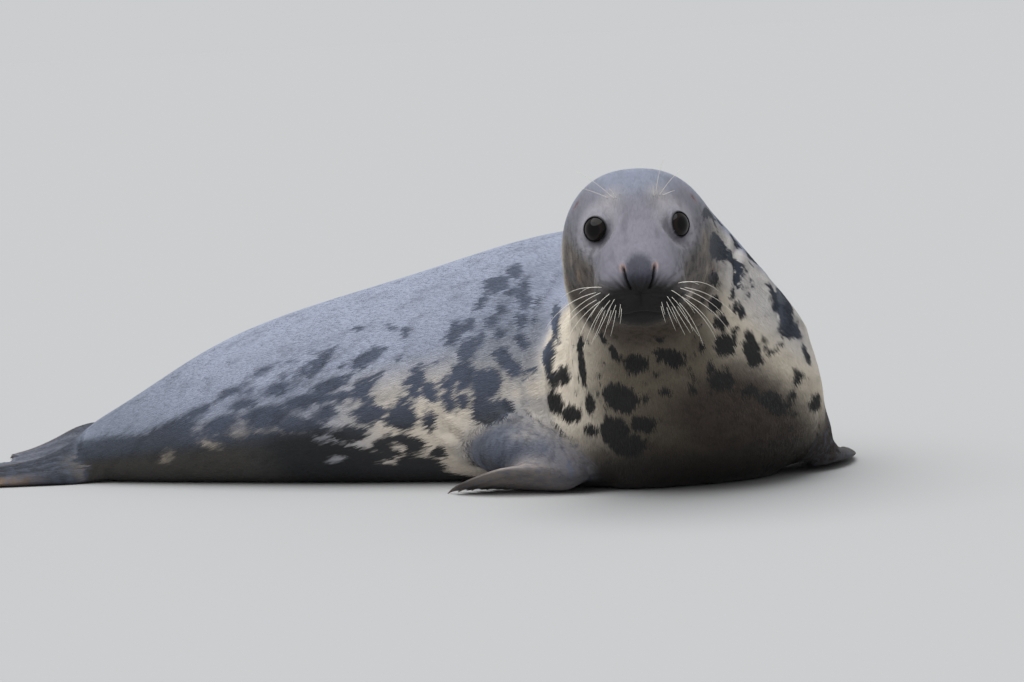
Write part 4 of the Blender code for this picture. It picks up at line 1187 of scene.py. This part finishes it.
sockets = {item.name: item.identifier for item in coat_tree.interface.items_tree if item.in_out == "INPUT"}
lock_hair = hair_finish("seal_hair_in_locks", False)
covered_area = cover[first_corner] * read(mesh.polygons, "area")
for number, (name, (locks, long, wide, thick, lift)) in enumerate(COATS.items()):
    weight = covered_area[region == number].sum()
    carrier = add_to_scene(name, skin.data.copy())
    scatter = carrier.modifiers.new("coat", "NODES")
    scatter.node_group = coat_tree
    values = (float(number), locks / weight, long / 1000, wide / 1000, thick / 1000, math.radians(lift))
    for key, value in zip(SIZES, values):
        scatter[sockets[key]] = value
    scatter[sockets["Seed"]] = 20 + number
    scatter[sockets["Lock"]], scatter[sockets["Hair"]] = lock, lock_hair
    bpy.context.view_layer.update()
    hair = bpy.data.meshes.new_from_object(carrier.evaluated_get(bpy.context.evaluated_depsgraph_get()))
    carrier.modifiers.clear()
    carrier.data = hair
    hair.name = name
    hair.materials.clear()
    hair.materials.append(lock_hair)
    hair.shade_flat()
    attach(carrier, "root")
bpy.data.objects.remove(lock)

# ================================================================ eyes
# A seal's eyeball is a large wet ball, almost black, with a dark brown iris that shows
# only as a faint ring. Here it is one glossy ball with a slight bulge for the cornea.
for side, name in ((1, "left"), (-1, "right")):
    middle, axis, across, over, _, _ = lid_frame(side)
    shell = bmesh.new()
    bmesh.ops.create_uvsphere(shell, u_segments=64, v_segments=40, radius=EYE_RADIUS)
    for corner in shell.verts:
        x, y, z = corner.co
        bulge = 1 + 0.030 * hill(math.hypot(x, y), 0, 0.011) * (z > 0)
        corner.co = from_head(middle + (x * across + y * over + z * axis) * bulge)
    bmesh.ops.recalc_face_normals(shell, faces=shell.faces)
    mesh = bpy.data.meshes.new(f"eyeball_{name}")
    shell.to_mesh(mesh)
    shell.free()
    mesh.shade_smooth()
    centre_of_eye = from_head(middle)
    look = (from_head(middle + axis) - centre_of_eye) / EYE_RADIUS
    # Wet cornea over a brown-black iris: sharp reflections, and a ring seen only close by.
    wet_eye = finish(f"wet_cornea_{name}", "#08080a", 0.03, IOR=1.33, Specular_IOR_Level=0.35)
    tree = wet_eye.node_tree
    place = add_node(tree, "ShaderNodeTexCoord").outputs["Object"]
    away = {0: place, 1: tuple(centre_of_eye)}
    away = add_node(tree, "ShaderNodeVectorMath", away, operation="SUBTRACT").outputs[0]
    ahead = add_node(tree, "ShaderNodeVectorMath", {0: away, 1: tuple(look)}, operation="DOT_PRODUCT")
    ramp = add_node(tree, "ShaderNodeValToRGB", {0: ahead.outputs["Value"]})
    bands = ramp.color_ramp.elements  # dark rim, black pupil and brown iris, by how straight it faces out
    bands[0].position, bands[0].color = 0.72, linear("#0d0a08")
    bands[1].position, bands[1].color = 0.93, linear("#020203")
    bands.new(0.86).color = linear("#1c1410")
    fibres = noise(tree, away, 900.0, 3.0)
    tree.links.new(mixed(tree, 0.35, ramp.outputs[0], fibres, "MULTIPLY"), shader_of(tree)["Base Color"])
    mesh.materials.append(wet_eye)
    eyeball = add_to_scene(f"eyeball_{name}", mesh)
    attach(eyeball, "root")
    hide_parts(f"eye_{name}")

# ================================================================ whiskers
# Stiff, pale, slightly beaded hairs. They fan out and down from the pads of the lip, in rows,
# and a few stand over each eye. Each is one tapered tube, longest at the back of its row.
WHISKER_ROOT, WHISKER_TIP = 0.00046, 0.00014  # radius in metres
# On each pad: row, column, length (mm), how far it rises (deg, below zero is down).
WHISKERS = (
    (0, 5, 62, 4), (0, 4, 40, 14), (1, 5, 92, -10), (1, 4, 84, -20), (2, 5, 84, -26), (2, 4, 76, -34),
    (2, 3, 50, -44), (3, 5, 74, -42), (3, 4, 66, -50), (3, 3, 54, -60), (3, 2, 34, -70), (4, 4, 54, -62),
    (4, 3, 46, -70), (4, 2, 40, -78), (4, 1, 24, -84), (1, 3, 46, -30), (3, 1, 20, -80), (2, 2, 22, -58),
)
# Over each eye: root (back, out), length (mm), and how far it leans out (deg).
BROW_HAIRS = {
    -1: ((0.124, 0.031, 84, 40), (0.127, 0.037, 58, 58), (0.122, 0.026, 24, 20)),
    1: ((0.124, 0.030, 84, 8), (0.126, 0.036, 70, 33), (0.122, 0.027, 22, -4), (0.128, 0.041, 22, 62)),
}
RINGS, SIDES = 15, 6  # of each whisker's tube
BEAD = 0.007  # metres from one bead to the next
face_tree = tree_of(points[front], np.nonzero(front)[0])


def on_face(back, left, up):
    """The skin's point nearest to this place on the head."""
    return local[face_tree.find(from_head((back, left, up)))[1]]


def taper(root, way, droop, length, phase):
    """Rings of a whisker that leaves the skin along way and bends towards droop."""
    shares = np.linspace(0, 1, RINGS)
    curve = root + length * (shares[:, None] * way + 0.5 * shares[:, None] ** 2 * (droop - 0.35 * way))
    ahead = unit(np.gradient(curve, axis=0))
    side = unit(np.cross(ahead, (0.3, 0.2, 0.9)))
    over = np.cross(ahead, side)
    beads = 1 + 0.10 * np.sin(shares * length / BEAD * 2 * math.pi + phase)
    radius = (WHISKER_ROOT + (WHISKER_TIP - WHISKER_ROOT) * shares**0.8) * beads
    turns = np.linspace(0, 2 * math.pi, SIDES, endpoint=False)
    return [from_head(c + r * (np.cos(turns)[:, None] * s + np.sin(turns)[:, None] * o))
            for c, r, s, o in zip(curve, radius, side, over)]


tubes = []
for side in (1, -1):
    for row, column, length, rise in WHISKERS:
        out, up = pore(row, column)
        root = on_face(0.004 * column, side * out, up)
        rise = math.radians(rise + random.uniform(-4, 4))
        ahead = 0.30 - 0.05 * column + random.uniform(-0.08, 0.08)
        way = unit(np.array((-ahead, side * math.cos(rise), math.sin(rise))))
        droop = np.array((0.10, -side * 0.10, -0.55 - random.uniform(0, 0.2)))
        if rise < math.radians(-55):
            droop = np.array((0.15, side * 0.15, -0.25))
        tubes.append(taper(root, way, droop, length / 1000 * random.uniform(0.93, 1.07), row))
    for back_at, out, length, lean in BROW_HAIRS[side]:
        root = on_face(back_at, side * out, 0.110)
        lean = math.radians(lean)
        way = unit(np.array((-0.25, side * math.sin(lean), math.cos(lean))))
        tubes.append(taper(root, way, np.array((0.1, side * 0.18, -0.12)), length / 1000, 0))
whisker_mesh = bmesh.new()
for rings_of_one in tubes:
    rows = [[whisker_mesh.verts.new(p) for p in ring] for ring in rings_of_one]
    for near_row, far_row in zip(rows, rows[1:]):
        for k in range(SIDES):
            j = (k + 1) % SIDES
            whisker_mesh.faces.new((near_row[k], near_row[j], far_row[j], far_row[k]))
    whisker_mesh.faces.new(rows[0][::-1])
    whisker_mesh.faces.new(rows[-1])
bmesh.ops.recalc_face_normals(whisker_mesh, faces=whisker_mesh.faces)
mesh = bpy.data.meshes.new("whiskers")
whisker_mesh.to_mesh(mesh)
whisker_mesh.free()
mesh.shade_smooth()


def grained(made, scale, detail, low, high):
    """Tints a finish from one colour to another by a grain, and returns the grain."""
    tree = made.node_tree
    grain = noise(tree, add_node(tree, "ShaderNodeTexCoord").outputs["Object"], scale, detail)
    tree.links.new(mixed(tree, grain, linear(low), linear(high)), shader_of(tree)["Base Color"])
    return grain


# Horn-like hair: creamy, a little see-through in life, with a smooth shine.
keratin = finish("pale_whisker_keratin", "#ece8de", 0.35)
grained(keratin, 160.0, 2.0, "#f6f3ec", "#d8d0c0")
mesh.materials.append(keratin)
whiskers = add_to_scene("whiskers", mesh)
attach(whiskers, "root")

# ================================================================ claws
# Dark horn, one on each digit: long and hooked on the fore flippers, small on the hind.
# Each is a tapered cone bent down to its tip, set in the end of its digit.
CLAW_ROOT, CLAW_LEAST = 0.004, 0.0002  # metres inside the digit, and above the floor
CLAW_HOOK = 0.22  # share of its length by which the tip drops
# Dark horn: a mottle of nearly black and brown, with fine ridges that catch the light.
horn = finish("dark_claw_horn", "#211b16", 0.38)
grain = grained(horn, 320.0, 4.0, "#14110f", "#4a3d30")
ridges = add_node(horn.node_tree, "ShaderNodeBump", {"Strength": 0.4, "Distance": 0.0004, "Height": grain})
horn.node_tree.links.new(ridges.outputs[0], shader_of(horn.node_tree)["Normal"])
turns = np.linspace(0, 2 * math.pi, 12, endpoint=False)[:, None]
for name, spec in FLIPPERS.items():
    for number, digit in zip((5, 4, 3, 2, 1), DIGITS):
        middle, ahead, normal, _ = (value[0] for value in blade_places(spec, np.ones(1), np.array([digit])))
        down = normal if normal[2] < 0 else -normal
        side = np.cross(ahead, down)
        claw_rings = []
        for share in np.linspace(0, 1, 12):
            ridged = 0.92 + 0.08 * math.cos(share * 40) * (1 - share)
            radius = spec["claw_base"] * (1 - 0.90 * share**1.4) * ridged
            core = middle + ahead * (spec["claw"] * share - CLAW_ROOT)
            core = core + down * spec["claw"] * CLAW_HOOK * share**2
            core[2] = max(core[2], radius)
            ring = core + radius * (0.72 * np.cos(turns) * side + np.sin(turns) * down)
            claw_rings.append(above_floor(ring, CLAW_LEAST))
        claw = closed_loft(f"horn_{name}_{number}", claw_rings)
        claw.data.shade_smooth()
        claw.data.materials.append(horn)
        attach(claw, "root")
        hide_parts(f"{name}_claw_{number}")

# ================================================================ floor, light and camera
# A plain pale floor under plain soft studio light, and the camera a little above the animal.
CAMERA_TURN, CAMERA_RISE, CAMERA_ROLL = 20.0, 5.0, 3.5  # degrees
CAMERA_AWAY, VIEW_WIDTH = 7.0, 1.5565  # metres, the width being that of the view at the seal
LOOK_AT = Vector((-0.11, -0.06, 0.225))
FILM, FLOOR_REACH = 36, 30  # mm, and metres
SKY_LIGHT, SUN_LIGHT, SUN_SOFTNESS, SUN_TILT = 0.62, 2.8, 75, (16, -10)  # the last two in degrees
camera = add_to_scene("camera", bpy.data.cameras.new("camera"))
a, e = math.radians(CAMERA_TURN), math.radians(CAMERA_RISE)
back = Vector((math.sin(a) * math.cos(e), -math.cos(a) * math.cos(e), math.sin(e)))
turned = (-back).to_track_quat("-Z", "Y").to_matrix() @ Matrix.Rotation(math.radians(-CAMERA_ROLL), 3, "Z")
camera.matrix_world = Matrix.Translation(LOOK_AT + back * CAMERA_AWAY) @ turned.to_4x4()
camera.data.sensor_width = FILM
camera.data.lens = FILM * CAMERA_AWAY / VIEW_WIDTH
camera.data.clip_end = 100
bpy.context.scene.camera = camera

floor_mesh = bpy.data.meshes.new("floor")
corners = [(x * FLOOR_REACH, y * FLOOR_REACH, 0) for x, y in ((-1, -1), (1, -1), (1, 1), (-1, 1))]
floor_mesh.from_pydata(corners, [], [(0, 1, 2, 3)])
floor = add_to_scene("floor", floor_mesh)
floor_mesh.materials.append(finish("pale_floor_paint", "#aeaeae", 0.9, Specular_IOR_Level=0.0))

sky = bpy.data.worlds.new("soft_sky")
bpy.context.scene.world = sky
sky.use_nodes = True
background = sky.node_tree.nodes["Background"].inputs
background["Color"].default_value, background["Strength"].default_value = linear("#fbfdff"), SKY_LIGHT
overhead = bpy.data.lights.new("overhead_light", "SUN")
overhead.energy, overhead.angle = SUN_LIGHT, math.radians(SUN_SOFTNESS)
overhead.color = linear("#fdfeff")[:3]
lamp = add_to_scene("overhead_light", overhead)
lamp.rotation_euler = (*(math.radians(tilt) for tilt in SUN_TILT), 0)
bpy.context.scene.view_settings.view_transform = "Standard"
